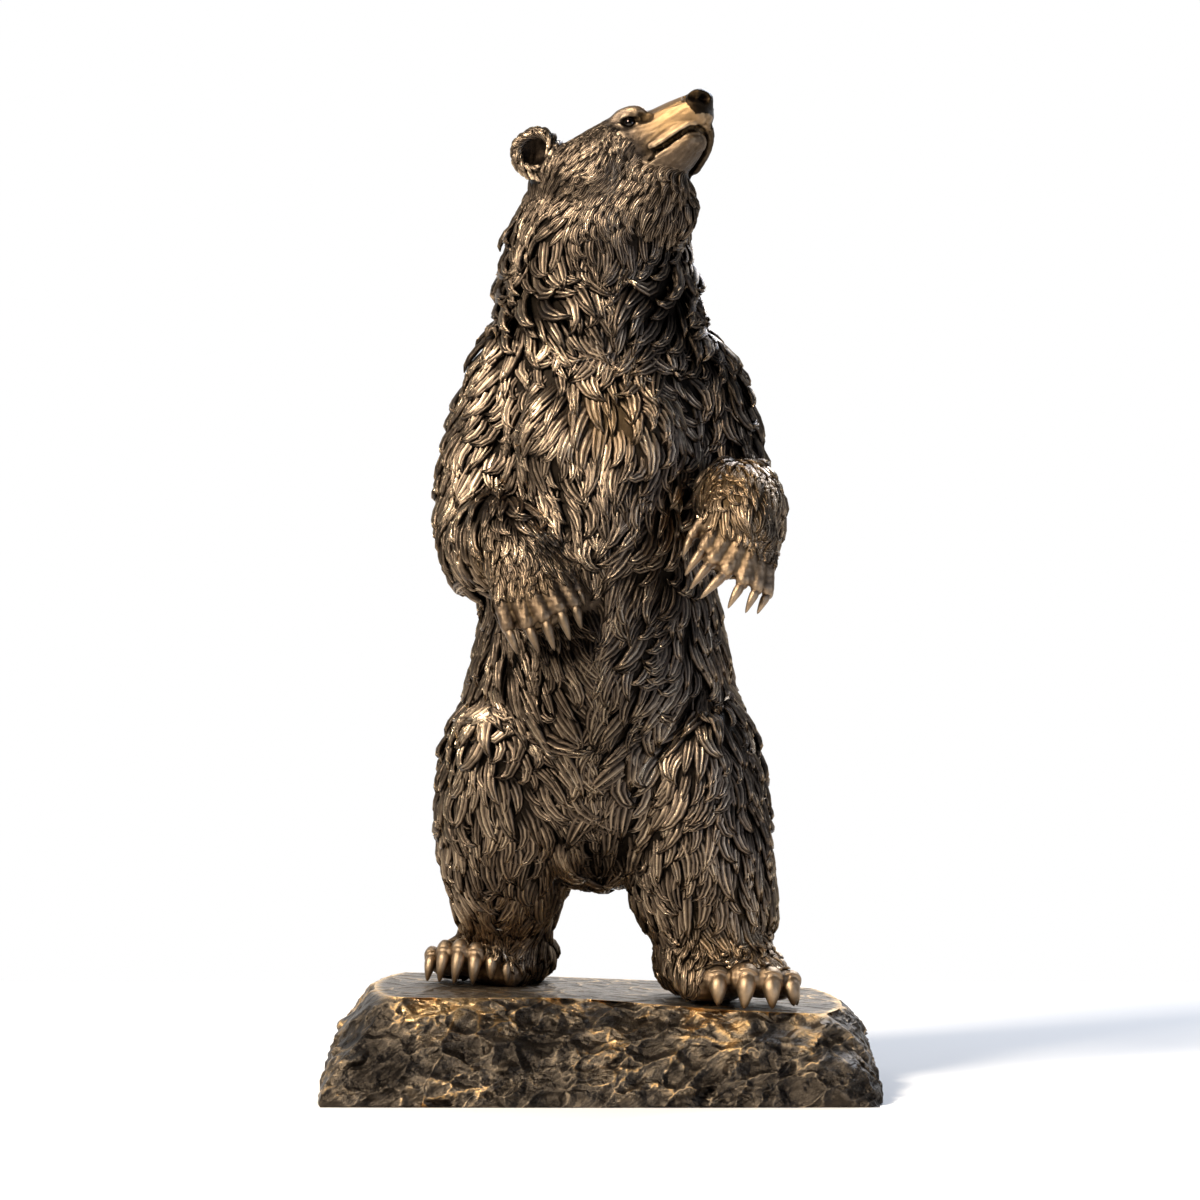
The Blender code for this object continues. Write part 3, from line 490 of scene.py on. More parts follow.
# Each fringe of large locks: its path, which way the locks point, then spacing, size and how far they stand out.
fringes = (
    (((-138, -62, 345), (-85, -108, 312), (-34, -124, 238), (0, -122, 214)), (0.25, -0.5, -1), 15, 1.15, 1.7),
    (((138, -62, 345), (85, -108, 312), (34, -124, 238), (0, -122, 214)), (-0.25, -0.5, -1), 15, 1.15, 1.7),
    (((-150, -20, 348), (-134, -70, 340), (-104, -100, 328)), (-0.55, -0.3, -1), 13, 1.25, 2.3),
    (((-112, -28, 750), (-92, -72, 742), (-50, -98, 730), (0, -108, 716)), (-0.2, -0.4, -1), 24, 1.0, 1.2),
    (((118, -20, 745), (92, -66, 738), (50, -94, 728), (0, -108, 716)), (0.2, -0.4, -1), 24, 1.0, 1.1),
    (((-76, 4, 872), (-92, 0, 840), (-100, 0, 800), (-106, 4, 762)), (-0.5, -0.5, -0.8), 17, 0.95, 3.1),
    (((-70, -50, 850), (-84, -46, 810), (-92, -44, 770)), (-0.9, -0.4, -0.5), 17, 0.95, 2.5),
    (((92, -38, 832), (101, -20, 792), (108, -8, 762)), (0.5, -0.4, -0.9), 16, 0.95, 3.1),
    (((-148, 4, 690), (-160, 0, 640), (-168, -6, 590), (-172, -10, 545)), (-0.5, -0.3, -0.9), 21, 1.0, 2.2),
    (((132, 6, 712), (152, 2, 668), (168, -4, 620)), (0.5, -0.2, -0.9), 21, 1.0, 2.0),
    (((-168, 20, 318), (-176, 10, 270), (-172, 20, 215)), (-0.5, -0.1, -0.9), 21, 1.0, 2.0),
    (((172, 10, 318), (182, 0, 262), (184, -6, 205)), (0.5, -0.1, -0.9), 21, 1.0, 2.0),
    (((-50, -60, 165), (-20, -50, 142), (0, -40, 136), (24, -50, 150), (50, -60, 168)), (0, -0.2, -1), 12, 1.0, 1.6),
    (((-160, 10, 470), (-158, -22, 452), (-140, -60, 448)), (-0.3, -0.1, -1), 12, 1.1, 1.7),
    (((190, 10, 478), (184, -30, 484), (170, -70, 492)), (0.35, 0, -1), 12, 1.1, 1.7),
    (((-150, 76, 66), (-140, 40, 62), (-108, 28, 58), (-78, 50, 60)), (-0.1, -0.6, -1), 13, 0.6, 0.9),
    (((178, -40, 74), (160, -78, 72), (128, -90, 70), (90, -70, 68)), (0, -0.6, -1), 13, 0.6, 0.9),
)
furSizes = {"length": 0.112, "width": 0.0345, "spacing": 0.0262, "rise": 0.0105, "thick": 0.0076, "seed": 11,
            "tries": 120000}

# Where the fur stands out more or lies flatter: middle, reach and amount.
stands = (((-85, -10, 810), 62, 2.5), ((88, -25, 810), 60, 2.4), ((0, -110, 770), 40, 0.8), ((0, 110, 780), 110, 1.5), ((-150, 10, 330), 60, 1.8),
          ((150, 10, 330), 60, 1.5), ((-150, 0, 560), 70, 1.35), ((165, 0, 600), 70, 1.35), ((0, -100, 660), 60, 0.75),
          ((0, -140, 480), 80, 0.75), ((-85, -130, 470), 50, 0.35), ((152, -140, 540), 60, 0.3),
          ((-110, -70, 505), 40, 0.7), ((-130, 50, 40), 60, 0.6), ((140, -70, 50), 60, 0.6))

# The way the fur lies: place, direction and reach, weighed together at each point.
guides = (
    ((-95, -30, 815), (-0.9, -0.2, -0.45), 55), ((92, -40, 810), (0.85, -0.2, -0.55), 55),
    ((-44, -88, 775), (0.9, -0.2, -0.75), 34), ((48, -88, 775), (-0.9, -0.2, -0.75), 34),
    ((-36, -95, 735), (0.8, -0.2, -0.8), 34), ((44, -95, 735), (-0.8, -0.2, -0.8), 34),
    ((-118, -10, 640), (-0.42, -0.15, -0.9), 60), ((-150, -10, 560), (-0.45, -0.1, -0.9), 50),
    ((-85, -60, 560), (-0.15, -0.3, -0.9), 35), ((-110, -75, 500), (0.1, -0.75, -0.6), 50),
    ((-85, -130, 480), (0.1, -0.6, -0.8), 35), ((160, -10, 580), (0.2, -0.1, -0.95), 60),
    ((110, -50, 580), (-0.4, -0.2, -0.9), 35), ((150, -80, 545), (0.05, -0.85, -0.5), 50),
    ((152, -140, 540), (0, -0.6, -0.8), 35), ((-165, 10, 260), (-0.35, -0.1, -0.95), 65),
    ((-70, -50, 260), (-0.05, -0.1, -1), 45), ((-110, 40, 130), (-0.2, -0.1, -1), 60),
    ((175, 0, 250), (0.4, -0.1, -0.92), 60), ((70, -70, 250), (-0.28, -0.1, -0.95), 45),
    ((125, -40, 130), (0.15, -0.25, -1), 60), ((0, 130, 500), (0, 0.1, -1), 180),
    ((-140, 60, 560), (-0.3, 0.2, -1), 80), ((140, 60, 560), (0.3, 0.2, -1), 80),
)


def furFlow(points, normals):
    flow = np.tile([0.0, 0.0, -0.08], (len(points), 1))
    for place, way, reach in guides:
        near = np.exp(-(((points - np.array(place)) / reach) ** 2).sum(axis=1))
        flow += near[:, None] * np.array(way)
    turn = np.interp(points[:, 2], (230, 600, 632, 660, 692, 712, 790, 835), (-0.5, -0.45, 0.4, 0.75, 0.7, -0.6, -0.5, 0))
    chest = (np.clip((-normals[:, 1] - 0.15) / 0.4, 0, 1) * np.clip((105 - np.abs(points[:, 0])) / 30, 0, 1)
             * np.clip((points[:, 2] - 190) / 40, 0, 1) * np.clip((-points[:, 1] - 40) / 30, 0, 1)
             * np.clip((850 - points[:, 2]) / 30, 0, 1) * np.clip((points[:, 1] + 165) / 15, 0, 1))
    breast = np.stack([turn * np.tanh(points[:, 0] / 28), np.full(len(points), -0.25), np.full(len(points), -0.9)], 1)
    flow += (breast * 1.6 - flow) * chest[:, None]
    onFace = np.clip((points[:, 2] - 845) / 40, 0, 1)[:, None]
    local = (points - np.array(head["centre"])) @ np.array([headForward, headRight, headUp]).T
    down = np.interp(local[:, 2], (10, 32), (0.8, 0.25))
    flow = flow * (1 - onFace) + (-headForward * 0.85 + np.array([0, 0, -1.0]) * down[:, None]) * onFace
    flow -= normals * (flow * normals).sum(axis=1)[:, None]
    return flow / np.maximum(np.linalg.norm(flow, axis=1), 1e-6)[:, None]


def furStand(points):
    stand = np.ones(len(points))
    for place, reach, amount in stands:
        near = np.exp(-(((points - np.array(place)) / reach) ** 2).sum(axis=1))
        stand += (amount - 1) * near
    fromFace = np.linalg.norm(points - onHead(60, 0, -10), axis=1)
    return stand * np.interp(fromFace, (40, 80, 120), (0.35, 0.7, 1))


def furScale(points):  # the size of the locks: small on the head, at the wrists and above the feet
    fromFace = np.linalg.norm(points - onHead(45, 0, -10), axis=1)
    size = np.minimum(np.interp(fromFace, (55, 95, 150), (0.33, 0.5, 1)), np.interp(points[:, 2], (20, 130), (0.5, 1)))
    for rows in forms["forearms"]:
        wrist, palm = np.array(rows[4][:3]), np.array(rows[6][:3])
        size = np.minimum(size, np.interp(np.linalg.norm(points - wrist, axis=1), (40, 90), (0.5, 1)))
        size = np.minimum(size, np.interp(np.linalg.norm(points - palm, axis=1), (34, 60), (0.34, 1)))
    neck = np.exp(-(((points[:, 2] - 800) / 55) ** 2)) * np.clip((np.abs(points[:, 0]) - 15) / 40, 0, 1)
    return size * (1 + 0.22 * neck)


def furSeeds(skin):  # evenly spread starts over the furred skin
    data = skin.data
    data.calc_loop_triangles()
    faces = readArray(data.loop_triangles, "vertices", 3, np.int32)
    corners = inShares(readArray(data.vertices, "co", 3))[faces]
    normals = readArray(data.vertices, "normal", 3)[faces]
    areas = np.linalg.norm(np.cross(corners[:, 1] - corners[:, 0], corners[:, 2] - corners[:, 0]), axis=1)
    rng = np.random.default_rng(furSizes["seed"])
    tries = furSizes["tries"]
    chosen = np.searchsorted(np.cumsum(areas) / areas.sum(), rng.random(tries)).clip(0, len(areas) - 1)
    a, b = rng.random(tries), rng.random(tries)
    over = a + b > 1
    a[over], b[over] = 1 - a[over], 1 - b[over]
    weights = np.stack([1 - a - b, a, b], axis=1)[:, :, None]
    points = (corners[chosen] * weights).sum(axis=1)
    normals = (normals[chosen] * weights).sum(axis=1)
    normals /= np.linalg.norm(normals, axis=1)[:, None]
    keep = (bareness(points, 0.55, 0.58) < 0.42) & (points[:, 2] > 16) & ~((normals[:, 2] < -0.75) & (points[:, 2] < 60))
    points, normals = points[keep], normals[keep]
    scale = furScale(points)
    near = KDTree(len(points))
    for index, place in enumerate(points):
        near.insert(place, index)
    near.balance()
    free, chosen = np.ones(len(points), bool), []
    for index in range(len(points)):
        if free[index]:
            chosen.append(index)
            for _, other, _ in near.find_range(points[index], furSizes["spacing"] / share * scale[index]):
                free[other] = False
    return points[chosen], normals[chosen], scale[chosen]


# One ring of a lock: across from its middle and up from the skin, with three strand ridges on its outer side.
lockRing = np.array(((0.5, -0.2), (0.33, 0.75), (0.16, 0.0), (0, 1), (-0.16, 0.0), (-0.33, 0.75), (-0.5, -0.2),
                     (0, -0.8)))
lockAlong = {"t": (0, 0.15, 0.34, 0.54, 0.73, 0.89, 1), "width": (0.7, 0.95, 1, 0.9, 0.66, 0.36, 0.06),
             "height": (0.2, 0.6, 0.9, 1, 0.95, 0.7, 0.2), "lift": (-0.45, -0.1, 0.3, 0.65, 0.9, 1.0, 0.9)}


def lockPrototype():  # one lock: a ring drawn out along +Y by extrusion, closed at both ends
    deselectAll()
    bpy.ops.mesh.primitive_circle_add(vertices=8, radius=0.5, fill_type="NGON", rotation=(math.pi / 2, 0, 0))
    lock = bpy.context.object
    settle(lock)
    bpy.ops.object.mode_set(mode="EDIT")
    bpy.ops.mesh.select_all(action="SELECT")
    for _ in lockAlong["t"][1:]:
        bpy.ops.mesh.extrude_region_move(TRANSFORM_OT_translate={"value": (0, 1, 0)})
    bpy.ops.mesh.select_all(action="SELECT")
    bpy.ops.mesh.normals_make_consistent(inside=False)
    bpy.ops.object.mode_set(mode="OBJECT")
    points = readArray(lock.data.vertices, "co", 3)
    ring = np.rint(points[:, 1]).astype(int)
    turn = np.rint(np.arctan2(points[:, 2], points[:, 0]) / (math.pi / 4)).astype(int) % 8
    faces = [list(face.vertices) for face in lock.data.polygons]
    bpy.data.objects.remove(lock)
    return ring, turn, faces


def lockPath(tree, start, way, length, curl):  # a bent path along the skin, with its normals
    steps = len(lockAlong["t"])
    path, normals = np.empty((steps, 3)), np.empty((steps, 3))
    place, way = Vector(start), Vector(way)
    at, normal, _, _ = tree.find_nearest(place)
    for step in range(steps):
        path[step], normals[step] = at, normal
        if step == steps - 1:
            break
        gap = (lockAlong["t"][step + 1] - lockAlong["t"][step]) * length
        way = (way - normal * way.dot(normal)).normalized()
        turned = Matrix.Rotation(curl[step], 3, normal) @ way
        found, nextNormal, _, _ = tree.find_nearest(at + turned * gap)
        moved = found - at
        if moved.length < gap * 0.3:
            found = at + turned * gap
        normal = (normal * 0.35 + nextNormal * 0.65).normalized()
        at, way = found, turned
    return path, normals


def makeLocks(name, tree, seeds):  # seeds: start, direction, length, width, thickness, lift, curl and a random number
    ring, turn, faces = lockPrototype()
    profile = lockRing[turn]
    sides = len(ring)
    corners = np.concatenate([np.array(face) for face in faces])
    sizes = np.array([len(face) for face in faces])
    places = np.empty((len(seeds), sides, 3))
    crest = np.empty((len(seeds), sides))
    strand = np.empty((len(seeds), sides, 3))
    widths, heights, lifts = (np.array(lockAlong[key]) for key in ("width", "height", "lift"))
    for number, (start, way, length, width, thick, lift, curl, chance) in enumerate(seeds):
        path, normals = lockPath(tree, start, way, length, curl)
        along = np.gradient(path, axis=0)
        along /= np.maximum(np.linalg.norm(along, axis=1), 1e-9)[:, None]
        across = np.cross(along, normals)
        across /= np.maximum(np.linalg.norm(across, axis=1), 1e-9)[:, None]
        x = profile[:, 0] * width * widths[ring]
        high = profile[:, 1] * thick * heights[ring] + lift * lifts[ring]
        point = path[ring] + across[ring] * x[:, None] + normals[ring] * high[:, None]
        ragged = np.where(turn == 1, -0.10 - 0.10 * chance, np.where(turn == 5, -0.22 + 0.16 * chance,
                                                                    np.where((turn == 2) | (turn == 4), -0.25, 0)))
        tip = (ring == len(widths) - 1) * ragged + (ring == len(widths) - 2) * ragged * 0.4
        point += along[ring] * (tip * length)[:, None]
        places[number] = point
        crest[number] = (0.16 + 0.84 * np.clip(profile[:, 1], 0, 1) ** 1.4) * np.interp(ring, (0, 2, 6), (0.25, 0.8, 1))
        strand[number, :, 0] = x + chance
        strand[number, :, 1] = ring * length / len(widths)
        strand[number, :, 2] = chance
    data = bpy.data.meshes.new(name)
    data.vertices.add(len(seeds) * sides)
    data.vertices.foreach_set("co", places.ravel())
    starts = np.concatenate([[0], np.cumsum(sizes)[:-1]])
    data.loops.add(len(seeds) * len(corners))
    data.loops.foreach_set("vertex_index", (corners[None] + np.arange(len(seeds))[:, None] * sides).ravel())
    data.polygons.add(len(seeds) * len(sizes))
    data.polygons.foreach_set("loop_start",
                              (starts[None] + np.arange(len(seeds))[:, None] * len(corners)).ravel())
    data.update(calc_edges=True)
    data.validate()
    data.attributes.new("crest", "FLOAT", "POINT").data.foreach_set("value", crest.ravel())
    data.attributes.new("strand", "FLOAT_VECTOR", "POINT").data.foreach_set("vector", strand.ravel())
    made = bpy.data.objects.new(name, data)
    bpy.context.scene.collection.objects.link(made)
    data.shade_smooth()
    return made


def neckHook(place):  # how strongly the locks at the sides of the neck hook downwards
    x, y, z = place
    near = math.exp(-(((z - 805) / 60) ** 2)) * min(1, max(0, (abs(x) - 40) / 25))
    return -math.copysign(near, x)


def furSeedRows(skin, tree):
    points, normals, scale = furSeeds(skin)
    flow, stand = furFlow(points, normals), furStand(points)
    rng = np.random.default_rng(furSizes["seed"] + 1)
    rows = []
    for place, normal, size, way, out in zip(points, normals, scale, flow, stand):
        size = size * (0.8 + 0.5 * rng.random() ** 1.5)
        spot = Vector(place)
        side = neckHook(place)
        calm = 1 - 0.5 * abs(side)
        aim = (0.6 * noise.noise(spot / 52) + 0.4 * noise.noise(spot / 17 + Vector((9, 4, 2)))) * calm
        hook = (2.3 * noise.noise(spot / 42 + Vector((3, 7, 1))) + 0.5 * (rng.random() - 0.5)) * calm
        curl = [-hook * 0.7 - side * 0.25] + [hook * part + side * 0.42 for part in (0.3, 0.4, 0.45, 0.5, 0.5)]
        way = Matrix.Rotation(aim, 3, Vector(normal)) @ Vector(way)
        flat = min(1.0, 0.35 + 0.65 * out)
        rows.append((inMetres(place), way, furSizes["length"] * size, furSizes["width"] * size,
                     furSizes["thick"] * size * flat, furSizes["rise"] * size * out * (0.7 + 0.7 * rng.random()),
                     curl, rng.random()))
    return rows


def earRows():  # short locks combed back over the rims of the ears
    rng = np.random.default_rng(furSizes["seed"] + 3)
    rows = []
    for place, side in zip(ears["places"], (1, -1)):
        facing, across, upright = earAxes(side)
        for step in np.arange(-1.1, 4.3, 0.29):
            for reach, turn in ((0.6, step), (0.9, step + 0.145)):
                way = across * math.cos(turn) + upright * math.sin(turn)
                start = onHead(*place) + way * ears["radius"] * reach + facing * ears["thickness"] * (reach - 0.2)
                aim = way * 0.75 + np.cross(facing, way) * rng.normal(0.75, 0.15) - facing * 0.3
                rows.append((inMetres(start), aim, 0.038, 0.0125, 0.0090, 0.0055, [0.16] * 6, rng.random()))
    return rows


def fringeRows(tree):
    rng = np.random.default_rng(furSizes["seed"] + 2)
    rows = []
    steps = len(lockAlong["t"])
    for path, way, spacing, size, stand in fringes:
        path = np.array(path, float)
        runs = np.linalg.norm(np.diff(path, axis=0), axis=1)
        for step in np.arange(0, runs.sum(), spacing):
            span = int(np.searchsorted(np.cumsum(runs), step, side="right"))
            part = (step - runs[:span].sum()) / runs[span]
            place = path[span] + (path[span + 1] - path[span]) * part + rng.normal(0, 3, 3)
            hook = rng.normal(0, 0.28)
            big = size * (0.85 + 0.4 * rng.random())
            aim = Vector(way) + Vector(rng.normal(0, 0.16, 3))
            rows.append((inMetres(place), aim, furSizes["length"] * big, furSizes["width"] * big * 1.1,
                         furSizes["thick"] * big * 1.25, furSizes["rise"] * stand, [-hook] + [hook] * (steps - 1),
                         rng.random()))
    return rows


def regionOf(place):  # the four fur pieces
    x, y, z = inShares(np.array(place))
    if z > 735:
        return "furHeadNeck"
    if z > 500 or y < -98 and z > 395:
        return "furChestArms"
    return "furBellyBack" if z > 300 else "furLegs"


def buildFur(skin):
    tree = skinTree(skin)
    rows = furSeedRows(skin, tree) + fringeRows(tree) + earRows()
    pieces = []
    for name in ("furHeadNeck", "furChestArms", "furBellyBack", "furLegs"):
        mine = [row for row in rows if regionOf(row[0]) == name]
        pieces.append(makeLocks(name, tree, mine))
        print(name, len(mine), "locks")
    return pieces


# The shares run along a claw, with its width there: the fold of skin at the root is wider than the claw.
claws = {"width": 0.7, "frontBow": 4.0, "hindBow": 5.5,
         "shares": ((-0.34, 0.6), (-0.2, 1.12), (-0.06, 1.3), (0.03, 1.26), (0.08, 0.98), (0.25, 1.0), (0.5, 0.84),
                    (0.75, 0.55), (0.93, 0.26), (1.0, 0.05))}


def buildClaws():  # curved claws with a fold of skin round each root
    parts = []
    for digit in frontDigits + hindDigits:
        _, root, tip, radius = digit
        root, tip = np.array(root, float), np.array(tip, float)
        bow = np.array([0, -1.0, 0.25]) * (claws["hindBow"] if digit in hindDigits else claws["frontBow"])
        back = np.array([0, 1.0, 0.3]) * radius * 0.9
        width = radius * claws["width"]
        rows = []
        for t, r in claws["shares"]:
            middle = root + (tip - root) * t + bow * 4 * max(t, 0) * (1 - t) + back * max(0, 0.2 - t)
            rows.append((*middle, width * r, width * r * 1.15))
        parts.append(limb(rows, np.array([1.0, 0, 0]), 18, 30))
    made = joinAll(parts, "claws")
    made.data.shade_smooth()
    return made


def buildEyes(places):
    parts = []
    for middle, across, upright, outward in places:
        centre = middle - outward * eyes["radius"] * 0.78
        parts.append(mass(centre, (across, upright, outward), (eyes["radius"],) * 3))
    made = joinAll(parts, "eyes")
    made.data.shade_smooth()
    return made


rock = {"length": 1.276, "depth": 0.90, "height": 0.215, "topLength": 1.088, "topShift": 0.0185, "topFront": 0.33,
        "topBack": 0.39, "hollow": 0.17, "facet": 0.16, "facetDepth": 0.032, "cells": (240, 150, 60),
        "quickCells": (110, 70, 28), "slant": 35}

# Chips that the chisel left, from large to small: size, depth, where their pattern starts and half a ridge's width.
chips = ((0.092, 0.017, (0.7, 0.1, 0.4), 0.0046), (0.040, 0.0060, (0.2, 0.6, 0.3), 0.0032))


def rockPlace(x, y, height):  # a point of the smooth tapered block
    taper = height**1.9
    corner = 1 - (0.02 + 0.08 * height) * (x * y) ** 2
    halfLength = (rock["length"] + (rock["topLength"] - rock["length"]) * taper) / 2
    topDepth = rock["topBack"] if y > 0 else rock["topFront"]
    place = Vector((x * halfLength * corner, 0, 0))
    bow = rock["hollow"] * math.exp(-(((place.x + 0.08) / 0.26) ** 2)) if y < 0 else 0
    halfDepth = rock["depth"] / 2 + (topDepth - bow - rock["depth"] / 2) * height**1.6
    place.y = y * halfDepth * corner
    place.x += rock["topShift"] * taper
    place.z = (rock["height"] - place.x * math.tan(bear["topSlope"])) * height
    return place


def hewn(place, size):  # how far a place is from the ridge of its facet, 0 on the ridge, and how the facet tilts there
    distances, cells = noise.voronoi(place / size)
    gap = distances[1] - distances[0]
    tilt = noise.noise_vector(cells[0] * 3.7).dot(place / size - cells[0])
    return gap, tilt * min(1.0, gap * 3)


def sideRelief(place, height):  # how deep the side is cut at a place, and how much of a ridge it is
    large, tilt = hewn(place + Vector((0.3, 0.2, 0.1)), rock["facet"])
    depth = rock["facetDepth"] * (min(1.0, large * 1.6) - 0.25 + tilt * 2.0) + 0.010 * noise.noise(place * 7)
    ridge = math.exp(-((large * rock["facet"] / 2 / 0.005) ** 2))
    edge = min(1.0, height * 8) * min(1.0, (1 - height) * 9 + 0.1)
    slanted = Matrix.Rotation(math.radians(rock["slant"]), 3, "Y") @ place
    slanted = Vector((slanted.x * 0.5, slanted.y * 0.8, slanted.z * 1.1)) + noise.noise_vector(place * 14) * 0.014
    for size, cut, start, width in chips:
        gap, tilt = hewn(slanted + Vector(start), size)
        depth += cut * (min(1.0, gap * 2.2) ** 0.6 - 0.6 + tilt * 2.8) * edge
        ridge = max(ridge, math.exp(-((gap * size / 2 / width) ** 2)) * min(1.0, 0.35 + size * 6))
    return depth, ridge * min(1.0, max(0.2, 0.55 + 1.3 * noise.noise(place * 8 + Vector((0.2, 0.9, 0.4)))))


def buildRock():
    deselectAll()
    bpy.ops.mesh.primitive_cube_add(size=2)
    made = bpy.context.object
    made.name = made.data.name = "rockBase"
    cells = rock["cells"]
    bpy.ops.object.mode_set(mode="EDIT")
    bpy.context.tool_settings.mesh_select_mode = (False, True, False)
    for axis, count in enumerate(cells):
        mesh = bmesh.from_edit_mesh(made.data)
        for edge in mesh.edges:
            a, b = edge.verts[0].co, edge.verts[1].co
            edge.select_set(abs((a - b)[axis]) > 1.9)
        bmesh.update_edit_mesh(made.data)
        bpy.ops.mesh.subdivide(number_cuts=count - 1, quadcorner="INNERVERT")
    bpy.context.tool_settings.mesh_select_mode = (False, False, True)
    mesh = bmesh.from_edit_mesh(made.data)
    for face in mesh.faces:
        face.select_set(all(vert.co.z < -0.999 for vert in face.verts))
    bmesh.update_edit_mesh(made.data)
    bpy.ops.mesh.dissolve_faces(use_verts=False)
    bpy.ops.object.mode_set(mode="OBJECT")
    points = readArray(made.data.vertices, "co", 3)
    crest = np.empty(len(points))
    for index, (x, y, z) in enumerate(points):
        height = (z + 1) / 2
        place = rockPlace(x, y, height)
        if 0.001 < height < 0.999:
            inner = min(1.0, height * 8, (1 - height) * 8)
            place += noise.noise_vector(place * 19) * 0.010 * inner
            inward = Vector((-place.x / rock["length"] ** 2, -place.y / rock["depth"] ** 2, 0)).normalized()
            depth, ridge = sideRelief(place, height)
            worn = max(0, noise.noise(place * 4 + Vector((0.3, 0, 0.2)))) * 0.35 * height**2
            place += inward * depth
            place.x = max(-rock["length"] / 2, min(rock["length"] / 2, place.x))
            place.y = max(-rock["depth"] / 2, min(rock["depth"] / 2, place.y))
            place.z = min(max(place.z, 0), rock["height"] - place.x * math.tan(bear["topSlope"]))
            crest[index] = 0.05 + ridge * (0.4 + 0.55 * height) + worn + 0.45 * max(0, height - 0.95) / 0.05
        else:
            crest[index] = 0.2
            if height >= 0.999:
                rim = 1 - max(abs(x), abs(y))
                place.z += 0.0008 * (noise.noise(place * 14) - 0.3) * min(1, rim * 8)
                crest[index] = 0.42 + 0.5 * max(0, 1 - rim * 26)
        points[index] = place
    made.data.vertices.foreach_set("co", points.ravel())
    made.data.attributes.new("crest", "FLOAT", "POINT").data.foreach_set("value", np.clip(crest, 0, 1))
    made.data.update()
    made.data.shade_smooth()
    deselectAll()
    made.select_set(True)
    bpy.context.view_layer.objects.active = made
    bpy.ops.object.shade_smooth_by_angle(angle=math.radians(20))
    return made


def crestOf(obj, times=6, gain=1.0):  # how far each point stands out from the skin round it, from 0 to 1
    data = obj.data
    points, ends = readArray(data.vertices, "co", 3), edgeEnds(data)
    normals = readArray(data.vertices, "normal", 3)
    count = np.maximum(np.bincount(ends.ravel(), minlength=len(points)), 1)[:, None]
    smooth = points.copy()
    for _ in range(times):
        smooth = neighbourMean(smooth, ends, count)
    out = ((points - smooth) * normals).sum(axis=1)
    crest = np.clip(0.45 + out / (0.0016 * times**0.5) * gain, 0, 1)[:, None]
    for _ in range(2):
        crest = crest * 0.5 + neighbourMean(crest, ends, count) * 0.5
    return crest[:, 0]


# Places where hands and weather have rubbed the bronze bright: middle, reach and amount.
rubbed = (((-109, -120, 470), 34, 0.2), ((-70, -160, 425), 40, 0.22), ((152, -150, 560), 40, 0.55),
          ((140, -190, 490), 50, 0.25), ((-140, 40, 24), 60, 0.2), ((160, -95, 20), 62, 0.28),
          ((10, -150, 640), 40, 0.35), ((40, -140, 690), 30, 0.3))

# Painted shade: places painted darker where shade falls, under the belly and between the legs, on the cheek, throat and
# neck and on the side turned from the key light: middle, reach and amount.
paintedShade = (((32, -85, 927), 24, 0.45), ((48, -78, 882), 30, 0.3), ((-40, -85, 800), 50, 0.25), ((0, -150, 400), 90, 0.55), ((0, -120, 300), 90, 0.5), ((110, -40, 800), 60, 0.35),
          ((190, 0, 600), 70, 0.4), ((-60, -90, 830), 30, 0.2), ((0, -60, 150), 50, 0.6))


def polishAndPaintedLightOf(points):
    local = (points - np.array(head["centre"])) @ np.array([headForward, headRight, headUp]).T
    # Wear rubbed to gold on the muzzle; its rise to the top is painted highlight and its fade towards the jaw below is
    # painted shade.
    polish = (np.clip((local[:, 0] - 84) / 40, 0, 1) * np.interp(local[:, 2], (-50, -28, -10), (0.08, 0.3, 0.6))
              * (np.abs(local[:, 1]) < 60))
    for place, reach, amount in rubbed:
        polish = np.maximum(polish, amount * np.exp(-((np.linalg.norm(points - np.array(place), axis=1) / reach) ** 2)))
    return polish


# Painted shade: the darkest of the listed shaded places at each point.
def paintedShadeOf(points):
    shade = np.zeros(len(points))
    for place, reach, amount in paintedShade:
        shade = np.maximum(shade, amount * np.exp(-((np.linalg.norm(points - np.array(place), axis=1) / reach) ** 2)))
    return shade


